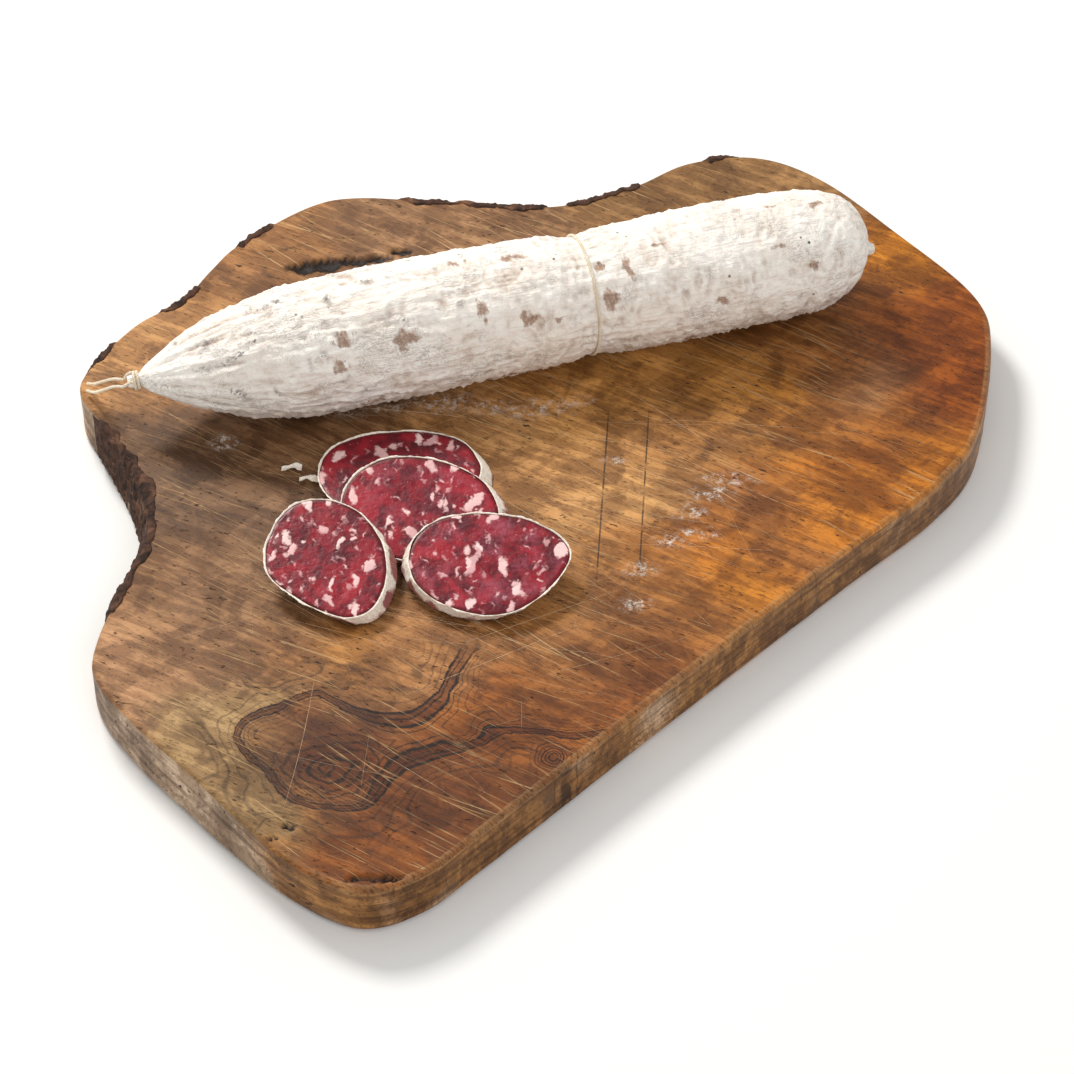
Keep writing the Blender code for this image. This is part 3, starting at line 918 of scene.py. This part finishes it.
def add_shred(node, material, seed):
    """A curled scrap of casing, in the box of its solid."""
    low, high = (np.array(corner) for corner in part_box(node))
    u = np.linspace(0, 1, 40)[:, None]
    v = np.linspace(-1, 1, 12)[None]
    centre = (low + high) / 2
    size = (high - low) / 2
    width = (1.5 + 0.5 * np.sin(u * 9 + seed)) * (1 - 0.5 * u) * MM
    x = centre[0] + size[0] * (1 - 2 * u)
    y = centre[1] + size[1] * 0.3 * np.sin(u * 5 + seed) + v * width
    z = low[2] + (0.6 + 0.35 * np.sin(u * math.pi) + 0.5 * v**2) * MM
    points = np.stack(np.broadcast_arrays(x, y, z), axis=-1)
    ruffle = fractal(points / MM, 2.0, 3, seed)
    points[..., 2] += 0.5 * MM * ruffle
    points[..., 0] += 0.8 * MM * ruffle
    points[..., 1] += 0.35 * MM * noise(points / MM, 1.7, seed + 4)
    lower = points - (0, 0, SHRED_THICKNESS)
    sheet = np.concatenate([points, lower[:, ::-1]], axis=1)
    values = {"inner": np.full(sheet.shape[:2], 0.1)}
    closed_grid(node.replace("casing", "peel"), node, sheet, material, values)


# ---------------------------------------------------------------- board

BOARD_COLUMNS = 760
BOARD_ROWS = 104
EDGE_FACE = 2 * MM  # how far the solid's wall starts from its top and its underside
EDGE_ROUND = 2.2 * MM
WALL_ROWS = 13
CRACK_DEPTH = 2.2
# Broad tones of the worn top, some of them lighter with painted sheen: place, reach in millimetres and
# colour.
TONES = (
    (71, 188, 50, (0.29, 0.145, 0.05)), (-39, 160, 45, (0.30, 0.15, 0.065)),
    (-120, 150, 40, (0.27, 0.115, 0.035)), (-167, 81, 35, (0.40, 0.19, 0.065)),
    (-135, 0, 40, (0.15, 0.075, 0.035)), (-138, -66, 35, (0.25, 0.12, 0.05)),
    (-150, -95, 28, (0.40, 0.20, 0.09)), (-112, -150, 26, (0.22, 0.10, 0.032)),
    (-96, -170, 18, (0.28, 0.12, 0.03)), (-80, -148, 26, (0.13, 0.036, 0.008)),
    (-55, -160, 26, (0.19, 0.055, 0.01)), (-57, -196, 22, (0.20, 0.055, 0.006)),
    (-25, -167, 28, (0.14, 0.040, 0.007)), (-15, -125, 30, (0.24, 0.070, 0.010)),
    (8, -87, 34, (0.26, 0.10, 0.025)), (30, -108, 26, (0.24, 0.07, 0.012)),
    (44, -60, 30, (0.33, 0.12, 0.024)), (-10, 10, 40, (0.44, 0.21, 0.07)),
    (25, 47, 40, (0.46, 0.21, 0.055)), (57, 18, 30, (0.30, 0.125, 0.035)),
    (80, 38, 30, (0.36, 0.15, 0.030)), (98, 35, 26, (0.27, 0.09, 0.013)),
    (131, 47, 28, (0.30, 0.11, 0.024)), (151, 91, 34, (0.24, 0.058, 0.004)),
    (172, 70, 30, (0.23, 0.052, 0.003)), (116, 0, 26, (0.42, 0.13, 0.010)),
    (145, 25, 24, (0.29, 0.085, 0.008)), (90, -18, 26, (0.26, 0.09, 0.02)),
    (72, -42, 22, (0.40, 0.125, 0.010)), (-72, -92, 30, (0.27, 0.115, 0.036)),
    (-45, -90, 28, (0.36, 0.155, 0.05)), (154, 136, 22, (0.42, 0.14, 0.008)),
    (101, 45, 18, (0.38, 0.14, 0.012)), (111, -11, 20, (0.46, 0.15, 0.010)),
    (77, -50, 16, (0.46, 0.16, 0.012)), (157, 8, 18, (0.38, 0.12, 0.008)),
    (142, 65, 13, (0.27, 0.125, 0.055)), (134, 49, 11, (0.24, 0.11, 0.045)),
    (154, 67, 10, (0.09, 0.03, 0.004)), (124, 91, 11, (0.12, 0.045, 0.008)),
    (62, 38, 11, (0.15, 0.06, 0.02)), (74, 21, 11, (0.15, 0.06, 0.02)),
    (-72, -92, 12, (0.50, 0.20, 0.03)), (30, 0, 26, (0.50, 0.25, 0.085)),
    (-20, 30, 24, (0.42, 0.21, 0.08)), (0, -60, 30, (0.40, 0.18, 0.055)),
    (-90, -40, 40, (0.24, 0.12, 0.055)), (-100, 40, 40, (0.22, 0.105, 0.045)),
    (110, 120, 40, (0.26, 0.10, 0.025)),
)
# All the tones made a little darker, against the painted sheen that some of them hold.
TONE_DEPTH = 0.92
SIDE_TONE = np.array((0.28, 0.125, 0.035))
SIDE_SAP_TONE = np.array((0.42, 0.29, 0.19))
# The dark growth line that loops round the knot and runs on to the right.
GROWTH_LINE = (
    (-30, -92), (-39, -115), (-50, -124), (-68, -122), (-84, -113), (-98, -120), (-110, -127), (-113, -136),
    (-108, -146), (-100, -154), (-94, -164), (-87, -169), (-69, -172), (-61, -169), (-51, -154), (-41, -148),
    (-21, -140), (-13, -134), (0, -135), (15, -137), (40, -131),
)
KNOT_HEART = (-77, -151)
SMALL_KNOT = (5, -146)
SAPWOOD_TONE = np.array((0.31, 0.185, 0.075))
# Dark cracks, and smears of flour-like dust from the casing: place, and reach to the right and away.
CRACKS = (
    (-102, 131, 8, 4.5), (-92, 133, 10, 5), (-80, 136, 9, 4), (-70, 138, 8, 3), (-60, 142, 6, 2.4),
    (-90, -179, 3.5, 1.3), (-97, -185, 4, 1.3), (-104, -187, 4, 1.2), (-62, -203, 9, 1.5),
    (-50, -202.5, 8, 1.5),
)
DUST = (
    (-79, 41, 9, 5), (-60, 43, 12, 4), (-41, 46, 18, 7), (-20, 43, 12, 5), (-2, 42, 18, 6), (14, 47, 8, 3),
    (76, 1, 12, 4), (68, -7, 10, 5), (59, -18, 7, 5), (62, -30, 9, 4), (52, -34, 8, 4), (39, -49, 9, 4),
    (36, -68, 8, 4), (-128, 22, 6, 5), (30, 12, 5, 3),
)


def board_ring(height):
    """The outline of the board's solid at that height, as a smooth closed line."""
    points = unique_points("board")
    ring = points[np.abs(points[:, 2] - height) < PLANE_GAP]
    return spline_through(ring[np.argsort(angle_of(ring))], 16 * len(ring), closed=True)


def blend_tones(flat):
    """The broad tone of the wood at each place."""
    total = np.zeros((len(flat), 3))
    weight = np.full(len(flat), 1e-6)
    bent = wandered(flat, 16, 40, 4, 201)
    for x, y, reach, colour in TONES:
        share = np.exp(-(((bent - (x, y)) ** 2).sum(axis=1)) / (2 * (0.5 * reach) ** 2))
        total += share[:, None] * np.array(colour)
        weight += share
    return TONE_DEPTH * total / weight[:, None]


def blob_field(flat, blobs, seed):
    """1 in the middle of each blob, falling to 0 at its uneven edge."""
    bent = wandered(flat, 2.5, 6, 3, seed)
    field = np.zeros(len(flat))
    for x, y, long, wide in blobs:
        reach = np.hypot((bent[:, 0] - x) / long, (bent[:, 1] - y) / wide)
        field = np.maximum(field, smoothstep(1.3, 0.2, reach))
    return field


def growth_field(flat):
    """Signed distance in millimetres from the growth line: over 0 on one side and under 0 on the other."""
    line = spline_through(GROWTH_LINE, 160)
    start, span = line[:-1], np.diff(line, axis=0)
    best = np.full(len(flat), np.inf)
    signed = np.zeros(len(flat))
    for corner, step in zip(start, span):
        rel = flat - corner
        share = np.clip(rel @ step / (step @ step), 0, 1)
        gap = np.hypot(*(rel - share[:, None] * step).T)
        side = np.sign(step[0] * rel[:, 1] - step[1] * rel[:, 0])
        signed = np.where(gap < best, gap * side, signed)
        best = np.minimum(best, gap)
    return signed


# Dark lines at distances from the growth line and from the knot's heart: place, half width, strength.
RING_LINES = (
    (-17.0, 0.9, 0.35), (-12.5, 1.2, 0.5), (-7.5, 0.8, 0.45), (-3.2, 0.5, 0.4), (0.0, 0.75, 1.0),
    (1.7, 0.45, 0.8), (4.4, 0.8, 1.0), (6.4, 0.4, 0.7), (9.0, 0.45, 0.55), (12.5, 0.5, 0.5),
    (16.0, 0.4, 0.4),
)
HEART_LINES = (
    (1.5, 0.9, 1.0), (4.0, 0.8, 0.9), (6.8, 0.9, 1.0), (9.5, 0.6, 0.7), (12.5, 0.8, 0.7), (16.5, 0.5, 0.5),
)
# Fine hatching of wear: its angle in plan, how fine it is along and across, and where it starts to show.
HATCHES = ((-33, 11, 900, 0.64), (-24, 9, 720, 0.65), (-42, 13, 1000, 0.65))
# Two straight cuts in the board: distance to the right, half width and strength, with their slant.
CUT_LINES = ((0.0256, 0.0005, 0.85), (0.0420, 0.0005, 0.85))
CUT_SLANT = -0.065


def paint_grain(paint, fine):
    """Clouds and bands of darker wood, lighter streaks and deep fine grain."""
    streak = paint.noise(1, 5, 0.65, paint.stretched(-28, (30, 230, 120)), 0.3)
    band = paint.noise(1, 4, 0.6, paint.stretched(42, (9, 60, 40)), 0.5)
    cloud = paint.noise(45, 6, 0.65, distortion=0.6)
    darker = paint.tinted((0.46, 0.41, 0.36))
    paint.over(paint.level(cloud, 0.55, 0.40, 0.0, 0.85), darker)
    paint.over(paint.level(band, 0.55, 0.42, 0.0, 0.45), darker)
    paint.over(paint.level(streak, 0.46, 0.58), paint.tinted((1.55, 1.65, 1.75)))
    paint.over(paint.level(fine, 0.48, 0.34, 0.0, 0.8), paint.tinted((0.34, 0.29, 0.26)))


def paint_rings(paint):
    """The growth lines beside the knot, and the rings round its heart."""
    bend = paint.times(paint.minus(paint.noise(130, 4, 0.6), 0.5), 4.0)
    spread = paint.level(paint.noise(26, 2), 0.36, 0.62, 0.62, 1.7)
    growth = paint.times(paint.plus(paint.value("growth"), bend), spread)
    ringed = paint.value("ringed")
    band_tone = paint.tinted((0.56, 0.45, 0.40))
    between = paint.times(paint.level(growth, -0.4, 0.6), paint.level(growth, 5.5, 3.8))
    paint.over(paint.times(between, ringed), band_tone)
    paint.over(paint.times(paint.lines(growth, RING_LINES), ringed), (0.012, 0.004, 0.002))
    heart = paint.plus(paint.value("heart"), bend)
    paint.over(paint.level(heart, 19.0, 6.0, 0.0, 0.6), band_tone)
    paint.over(paint.lines(heart, HEART_LINES), (0.016, 0.005, 0.002))


def paint_hatching(paint):
    """Fine pale marks of wear in patches. It gives back how strong they are."""
    marks = None
    for turn, along, across, low in HATCHES:
        hatch = paint.noise(1, 2.0, 0.5, paint.stretched(turn, (along, across, 1)))
        mark = paint.level(hatch, low - 0.02, low + 0.04)
        marks = paint.either(marks, mark) if marks else mark
    patchy = paint.level(paint.noise(42, 3, 0.6), 0.42, 0.6, 0.08, 0.8)
    marks = paint.times(paint.times(marks, paint.value("worn")), patchy)
    paint.over(marks, (0.60, 0.39, 0.19))
    return marks


def paint_cuts(paint):
    """The two straight cuts, partly worn away."""
    x, y, _ = paint.node("SeparateXYZ", {0: paint.here}).outputs
    cuts = paint.lines(paint.plus(x, paint.times(y, CUT_SLANT)), CUT_LINES)
    length = paint.times(paint.level(y, -0.062, -0.050), paint.level(y, 0.046, 0.03))
    worn_away = paint.level(paint.noise(120, 2), 0.38, 0.5, 0.2, 1.0)
    paint.over(paint.times(paint.times(cuts, length), worn_away), (0.025, 0.014, 0.008))


def wood_paint():
    """Worn brown wood with its knot, cuts, cracks, dust and layered sides."""
    paint = Paint("worn_wood", Specular_IOR_Level=0.22)
    paint.base = paint.node("Attribute", attribute_name="tone").outputs["Color"]
    fine = paint.noise(1, 5, 0.7, paint.stretched(-30, (300, 1500, 700)))
    paint_grain(paint, fine)
    paint_rings(paint)
    marks = paint_hatching(paint)
    pores = paint.noise(1, 2, 0.5, paint.stretched(-20, (280, 760, 500)))
    few = paint.level(paint.noise(55, 3, 0.6), 0.4, 0.62, 0.25, 1.0)
    paint.over(paint.times(paint.level(pores, 0.64, 0.74), few), (0.03, 0.013, 0.006))
    paint_cuts(paint)
    paint.over(paint.value("crack"), (0.012, 0.007, 0.005))
    grains = paint.level(paint.noise(300, 6, 0.8), 0.47, 0.64, 0.0, 0.9)
    paint.over(paint.times(paint.value("dust"), grains), (0.72, 0.66, 0.60))
    paint.over(paint.times(paint.value("edge"), paint.level(fine, 0.3, 0.6)), (0.46, 0.27, 0.12))
    layers = paint.level(paint.noise(1, 5, 0.7, paint.scaled((12, 12, 420))), 0.56, 0.38, 0.0, 0.75)
    paint.over(paint.times(paint.value("side"), layers), paint.tinted((0.36, 0.30, 0.26)))
    paint.set("Roughness", paint.plus(paint.level(fine, 0.3, 0.7, 0.12, 0.28), paint.value("dry")))
    height = paint.minus(paint.times(fine, 0.6), paint.times(marks, 0.9))
    height = paint.minus(height, paint.level(pores, 0.66, 0.74))
    return paint.finished(paint.bump(height, 0.0005, 0.8))


def bark_paint():
    """Dark bark with browner flakes."""
    paint = Paint("bark", Roughness=0.85, Specular_IOR_Level=0.3)
    rough = paint.noise(240, 6, 0.7)
    flake = paint.noise(1, 5, 0.65, paint.scaled((110, 110, 300)))
    paint.base = paint.mix(paint.level(rough, 0.35, 0.65), (0.018, 0.009, 0.006), (0.085, 0.038, 0.022))
    paint.over(paint.level(flake, 0.52, 0.68, 0.0, 0.8), (0.19, 0.09, 0.05))
    return paint.finished(paint.bump(rough, 0.0012, 0.9))


def top_relief(flat):
    """How far the worn top stands over its plane, in millimetres."""
    plan = at_height(flat, 0)
    return np.minimum(-0.22 + 0.2 * fractal(plan, 40, 3, 311) + 0.06 * fractal(plan, 7, 2, 315), 0.12)


SCRATCH_COUNT = 420
SCRATCH_STEPS = 16
SCRATCH_SUNK = 0.12
SCRATCH_PROUD = 0.05
# How often scratches lie at each angle: degrees in plan, spread and share.
SCRATCH_ANGLES = ((-33, 7, 0.50), (-10, 6, 0.22), (24, 9, 0.12), (88, 6, 0.09), (-60, 8, 0.07))


def scratch_paint():
    paint = Paint("scratches", Roughness=0.6, Specular_IOR_Level=0.3)
    grain = paint.noise(500, 3, 0.6)
    tan = paint.mix(paint.value("pale"), (0.34, 0.18, 0.07), (0.80, 0.60, 0.38))
    paint.base = paint.mix(paint.level(grain, 0.5, 0.35, 0.0, 0.6), tan, (0.25, 0.12, 0.045))
    return paint.finished()


def add_scratches(material):
    """Light raised burrs along knife marks: long three-sided slivers that hug the worn top."""
    rng = np.random.default_rng(601)
    ring = board_ring(BOARD_TOP)[:, :2] / MM
    ring = ring[np.argsort(angle_of(ring))]
    angles, spreads, shares = (np.array(part) for part in zip(*SCRATCH_ANGLES))
    points, faces, pales, made = [], [], [], 0
    while made < SCRATCH_COUNT:
        middle = rng.normal((-5, -60), (75, 62))
        kind = rng.choice(len(angles), p=shares)
        turn = math.radians(rng.normal(angles[kind], spreads[kind]))
        long = rng.random() < 0.14
        length = rng.uniform(40, 85) if long else 6 + 14 * rng.exponential()
        width = rng.uniform(0.12, 0.22) if long else rng.uniform(0.05, 0.15)
        bow = rng.normal(0, 0.015) * length
        pale = 1.0 if long else rng.uniform(0, 1)
        u = np.linspace(-0.5, 0.5, SCRATCH_STEPS)
        ahead = np.array((math.cos(turn), math.sin(turn)))
        across = np.array((-ahead[1], ahead[0]))
        path = middle + np.outer(u * length, ahead) + np.outer(bow * (1 - 4 * u * u), across)
        limit = np.interp(angle_of(path), angle_of(ring), np.hypot(*ring.T), period=TAU)
        if length > 90 or (np.hypot(*path.T) > limit - 4).any():
            continue
        half = width * np.sqrt(np.clip(1 - 4 * u * u, 0.02, 1))
        height = BOARD_TOP / MM + top_relief(path)
        left = np.column_stack([path + np.outer(half, across), height - SCRATCH_SUNK])
        right = np.column_stack([path - np.outer(half, across), height - SCRATCH_SUNK])
        crest = np.column_stack([path, height + SCRATCH_PROUD])
        rings = np.stack([left, right, crest], axis=1)
        base = made * SCRATCH_STEPS * 3
        points.append(rings.reshape(-1, 3) * MM)
        faces.extend((grid_faces(SCRATCH_STEPS, 3) + base).tolist())
        faces.append([base + 2, base + 1, base])
        last = base + (SCRATCH_STEPS - 1) * 3
        faces.append([last, last + 1, last + 2])
        pales.extend([pale] * (SCRATCH_STEPS * 3))
        made += 1
    points = np.vstack(points)
    make_mesh("knife_marks", "board", points, faces, material, {"pale": pales}, smooth=False)


def board_grid():
    """Rings of points from the middle of the top to the middle of the underside, the direction out
    from the wall, and which rings are the wall."""
    low_edge, high_edge = EDGE_FACE, BOARD_TOP - EDGE_FACE
    high = spaced_along(board_ring(high_edge), BOARD_COLUMNS, closed=True)
    low_line = board_ring(low_edge)
    low = np.array([low_line[nearest(low_line, point)] for point in high])
    ahead = np.roll(high, -1, axis=0) - np.roll(high, 1, axis=0)
    out = unit(np.column_stack([ahead[:, 1], -ahead[:, 0], np.zeros(len(high))]))
    top = at_height(high - out * EDGE_ROUND, BOARD_TOP)
    centre = np.array((0, 0, BOARD_TOP))
    share = 1 - (1 - np.linspace(0.01, 1, BOARD_ROWS)) ** 1.15
    rows = [centre + (top - centre) * k for k in share]
    for turn in np.radians((25, 50, 75)):
        inset, drop = EDGE_ROUND * (1 - math.sin(turn)), EDGE_ROUND * (1 - math.cos(turn))
        rows.append(at_height(high - out * inset, BOARD_TOP - drop))
    wall_start = len(rows)
    for down in np.linspace(0, 1, WALL_ROWS):
        rows.append(at_height(blend(high, low, down), blend(high_edge - 0.2 * MM, low_edge, down)))
    wall = slice(wall_start, len(rows))
    for inset, height in ((0.7, 0.7), (2, 0), (8, 0)):
        rows.append(at_height(low - out * inset * MM, height * MM))
    under = rows[-1]
    rows += [under * k for k in (0.75, 0.5, 0.25, 0.03)]
    return np.array(rows), out, wall


def board_values(space, out, level, side, wall):
    """What the wood's paint reads at each point, apart from the cracks."""
    shape = level.shape
    flat = space.reshape(-1, 3)[:, :2]
    plan = at_height(flat, 0)
    x, y = flat.T
    growth = growth_field(flat)
    ends = smoothstep(55, 5, x) * smoothstep(-84, -104, y + 0.1 * x)
    ringed = smoothstep(23, 14, np.abs(growth) + 3 * fractal(plan, 34, 3, 331)) * ends
    knot = np.hypot((x - KNOT_HEART[0]) * 0.8, y - KNOT_HEART[1])
    small = 1.9 * np.hypot(x - SMALL_KNOT[0], y - SMALL_KNOT[1])
    sap = smoothstep(0.5, -1.5, growth) * smoothstep(-40, -22, growth) * smoothstep(-82, -92, x)
    sap *= smoothstep(-186, -181, y) * smoothstep(-104, -122, y)
    tone = blend(blend_tones(flat), SAPWOOD_TONE, 0.85 * sap[:, None])
    side_sap = fractal(space, 30, 2, 371).ravel() + smoothstep(-60, -140, x) - 0.4
    side_tone = blend(SIDE_TONE, SIDE_SAP_TONE, smoothstep(-0.2, 0.5, side_sap)[:, None])
    worn = np.clip(0.75 + 0.5 * fractal(plan, 50, 2, 341), 0.15, 1) * smoothstep(175, 120, x * 0.9 + y * 0.35)
    rim_wear = np.zeros(shape)
    rim_wear[BOARD_ROWS - 1 : wall.start + 1] = 0.75
    rim_wear *= smoothstep(0.1, 0.8, out[:, 0] * 0.5 - out[:, 1]) * (0.5 + 0.5 * fractal(space, 14, 2, 381))
    return {
        "tone": blend(tone, side_tone, side.reshape(-1, 1)).reshape(*shape, 3),
        "growth": growth.reshape(shape),
        "heart": (np.minimum(knot, small) + 5 * fractal(plan, 13, 3, 339)).reshape(shape),
        "ringed": ringed.reshape(shape) * (0.3 + 0.7 * level),
        "worn": worn.reshape(shape) * level,
        "dry": (0.34 - 0.16 * smoothstep(40, 130, x) + 0.08 * fractal(plan, 30, 2, 351)).reshape(shape),
        "dust": blob_field(flat, DUST, 361).reshape(shape) * level,
        "edge": np.clip(rim_wear, 0, 1),
        "side": side,
    }


def add_board(material):
    """The board's fine surface: its worn top with cracks in it, and its rough wall."""
    grid, out, wall = board_grid()
    level, side = np.zeros(grid.shape[:2]), np.zeros(grid.shape[:2])
    level[:BOARD_ROWS] = 1
    side[wall] = 1
    space = grid / MM
    flat = space[..., :2].reshape(-1, 2)
    crack = blob_field(flat, CRACKS, 301).reshape(level.shape) * level
    relief = top_relief(flat).reshape(level.shape) - CRACK_DEPTH * smoothstep(0.3, 0.9, crack)
    grid[..., 2] += relief * MM * level
    rough = 0.35 * fractal(space * (1, 1, 0.3), 9, 3, 321)
    grid += out[None] * (rough * side)[..., None] * MM
    values = board_values(space, out, level, side, wall)
    values["crack"] = smoothstep(0.25, 0.6, crack)
    values = {key: part[:, ::-1] for key, part in values.items()}
    closed_grid("board_wood", "board", grid[:, ::-1], material, values)


# Bark left on the edge: where each run starts and ends, how far it reaches over the top and stands
# out, and the places where it does so, with their reach. All in millimetres.
BARK = (
    ((-183, 42), (-168, -80), 3.6, 2.0, ((-168, 18, 22), (-152, -15, 30), (-158, -55, 22))),
    ((-188, 56), (100, 206), 3.6, 1.5, (
        (-184, 72, 14), (-152, 111, 12), (-122, 152, 12), (-50, 178, 12), (-30, 176, 14), (-8, 174, 12),
        (20, 177, 10), (36, 183, 11), (84, 206, 11),
    )),
)
BARK_OUTLINE = 2400
BARK_LOWEST = 0.3
BARK_OUTER = 34
BARK_INNER = 6
BARK_SEAT = 3.0  # how far its inner side lies within the wood
OVER_SHARE = 0.25  # the share of its outer side that lies over the top
DOWN_FROM = 0.18  # where along its outer side it starts to go down
LIP_SHARE = 0.3  # the share of its outer side that is rough in height too


def bark_line(outline, start, end):
    """The shorter way along the outline from start to end."""
    first, last = nearest(outline, start), nearest(outline, end)
    half = len(outline) // 2
    if last - first > half:
        first += len(outline)
    elif first - last > half:
        last += len(outline)
    return outline[np.arange(first, last, 1 if last > first else -1) % len(outline), :2]


def bark_run(number, line, low, cover, stand, spots):
    """Rings of points round one run of bark, in metres."""
    ahead = unit(np.gradient(line, axis=0))
    out = np.column_stack([ahead[:, 1], -ahead[:, 0]])
    out *= np.sign((out * line).sum(axis=1).mean())
    along = np.linspace(0, 1, len(line))
    ends = smoothstep(0, 0.06, along) * smoothstep(1, 0.94, along)
    spotted = np.zeros(len(line))
    for x, y, reach in spots:
        away = np.hypot(*(line - (x, y)).T)
        spotted = np.maximum(spotted, smoothstep(reach * 1.15, reach * 0.75, away))
    shown = ends * spotted
    seat = np.column_stack([line, np.full(len(line), number * 50.0)])
    width = shown * cover * np.clip(0.75 + 0.9 * fractal(seat, 9, 3, 501), 0.1, 2)
    stand_out = stand * ends * np.clip(0.8 + 0.7 * fractal(seat, 12, 2, 511), 0.1, 2)
    stand_out *= 0.3 + 0.7 * spotted
    top = BOARD_TOP / MM
    rows = []
    for u in np.linspace(0, 1, BARK_OUTER):
        over = max(0, 1 - u / OVER_SHARE)
        down = max(0, (u - DOWN_FROM) / (1 - DOWN_FROM))
        inset = width * over - stand_out * math.sin(math.pi * (0.25 + down * 0.75)) * (1 - over)
        height = top + (3.0 * shown - 2.65) * (1 - down) - (top - 0.8) * down - 0.5 * (u == 0)
        rows.append(np.column_stack([blend(line, low, down) - out * inset[:, None], height]))
    for u in np.linspace(0, 1, BARK_INNER):
        rows.append(at_height(blend(low, line, u) - out * BARK_SEAT, 1.5 + (top - 4) * u))
    grid = np.stack(rows, axis=1)
    rough = creases(grid * (1, 1, 0.6), 5, 3, 521) - 0.4 + 0.5 * fractal(grid, 3, 3, 531)
    rough *= ends[:, None]
    rough[:, 0] = 0
    rough[:, BARK_OUTER - 1 :] = 0
    grid[..., :2] += out[:, None] * 1.1 * rough[..., None]
    lip = int(BARK_OUTER * LIP_SHARE) + 1
    grid[:, :lip, 2] += 0.35 * rough[:, :lip]
    grid[..., 2] = np.maximum(grid[..., 2], BARK_LOWEST)
    return grid * MM


def add_bark(material):
    """All runs of bark in one piece."""
    outline = spaced_along(board_ring(BOARD_TOP - EDGE_FACE), BARK_OUTLINE, closed=True)[::-1] / MM
    foot = board_ring(EDGE_FACE) / MM
    grids = []
    for number, (start, end, *shape) in enumerate(BARK):
        line = bark_line(outline, start, end)
        low = np.array([foot[nearest(foot, point), :2] for point in line])
        grids.append(bark_run(number, line, low, *shape))
    points, faces = join_grids(grids)
    make_mesh("bark_edges", "board", points, faces, material)


# ---------------------------------------------------------------- scene

add_camera()
add_stage()
twine = twine_paint()
add_tails(twine)
add_salami(casing_paint())
add_bindings(twine)
meat, rind = meat_paint(), rind_paint()
for slice_name in SLICE_LOOKS:
    add_slice(slice_name, meat, rind)
for number in (1, 2):
    add_shred(f"casing_shred_{number}", rind, 400 + number)
add_board(wood_paint())
add_scratches(scratch_paint())
add_bark(bark_paint())
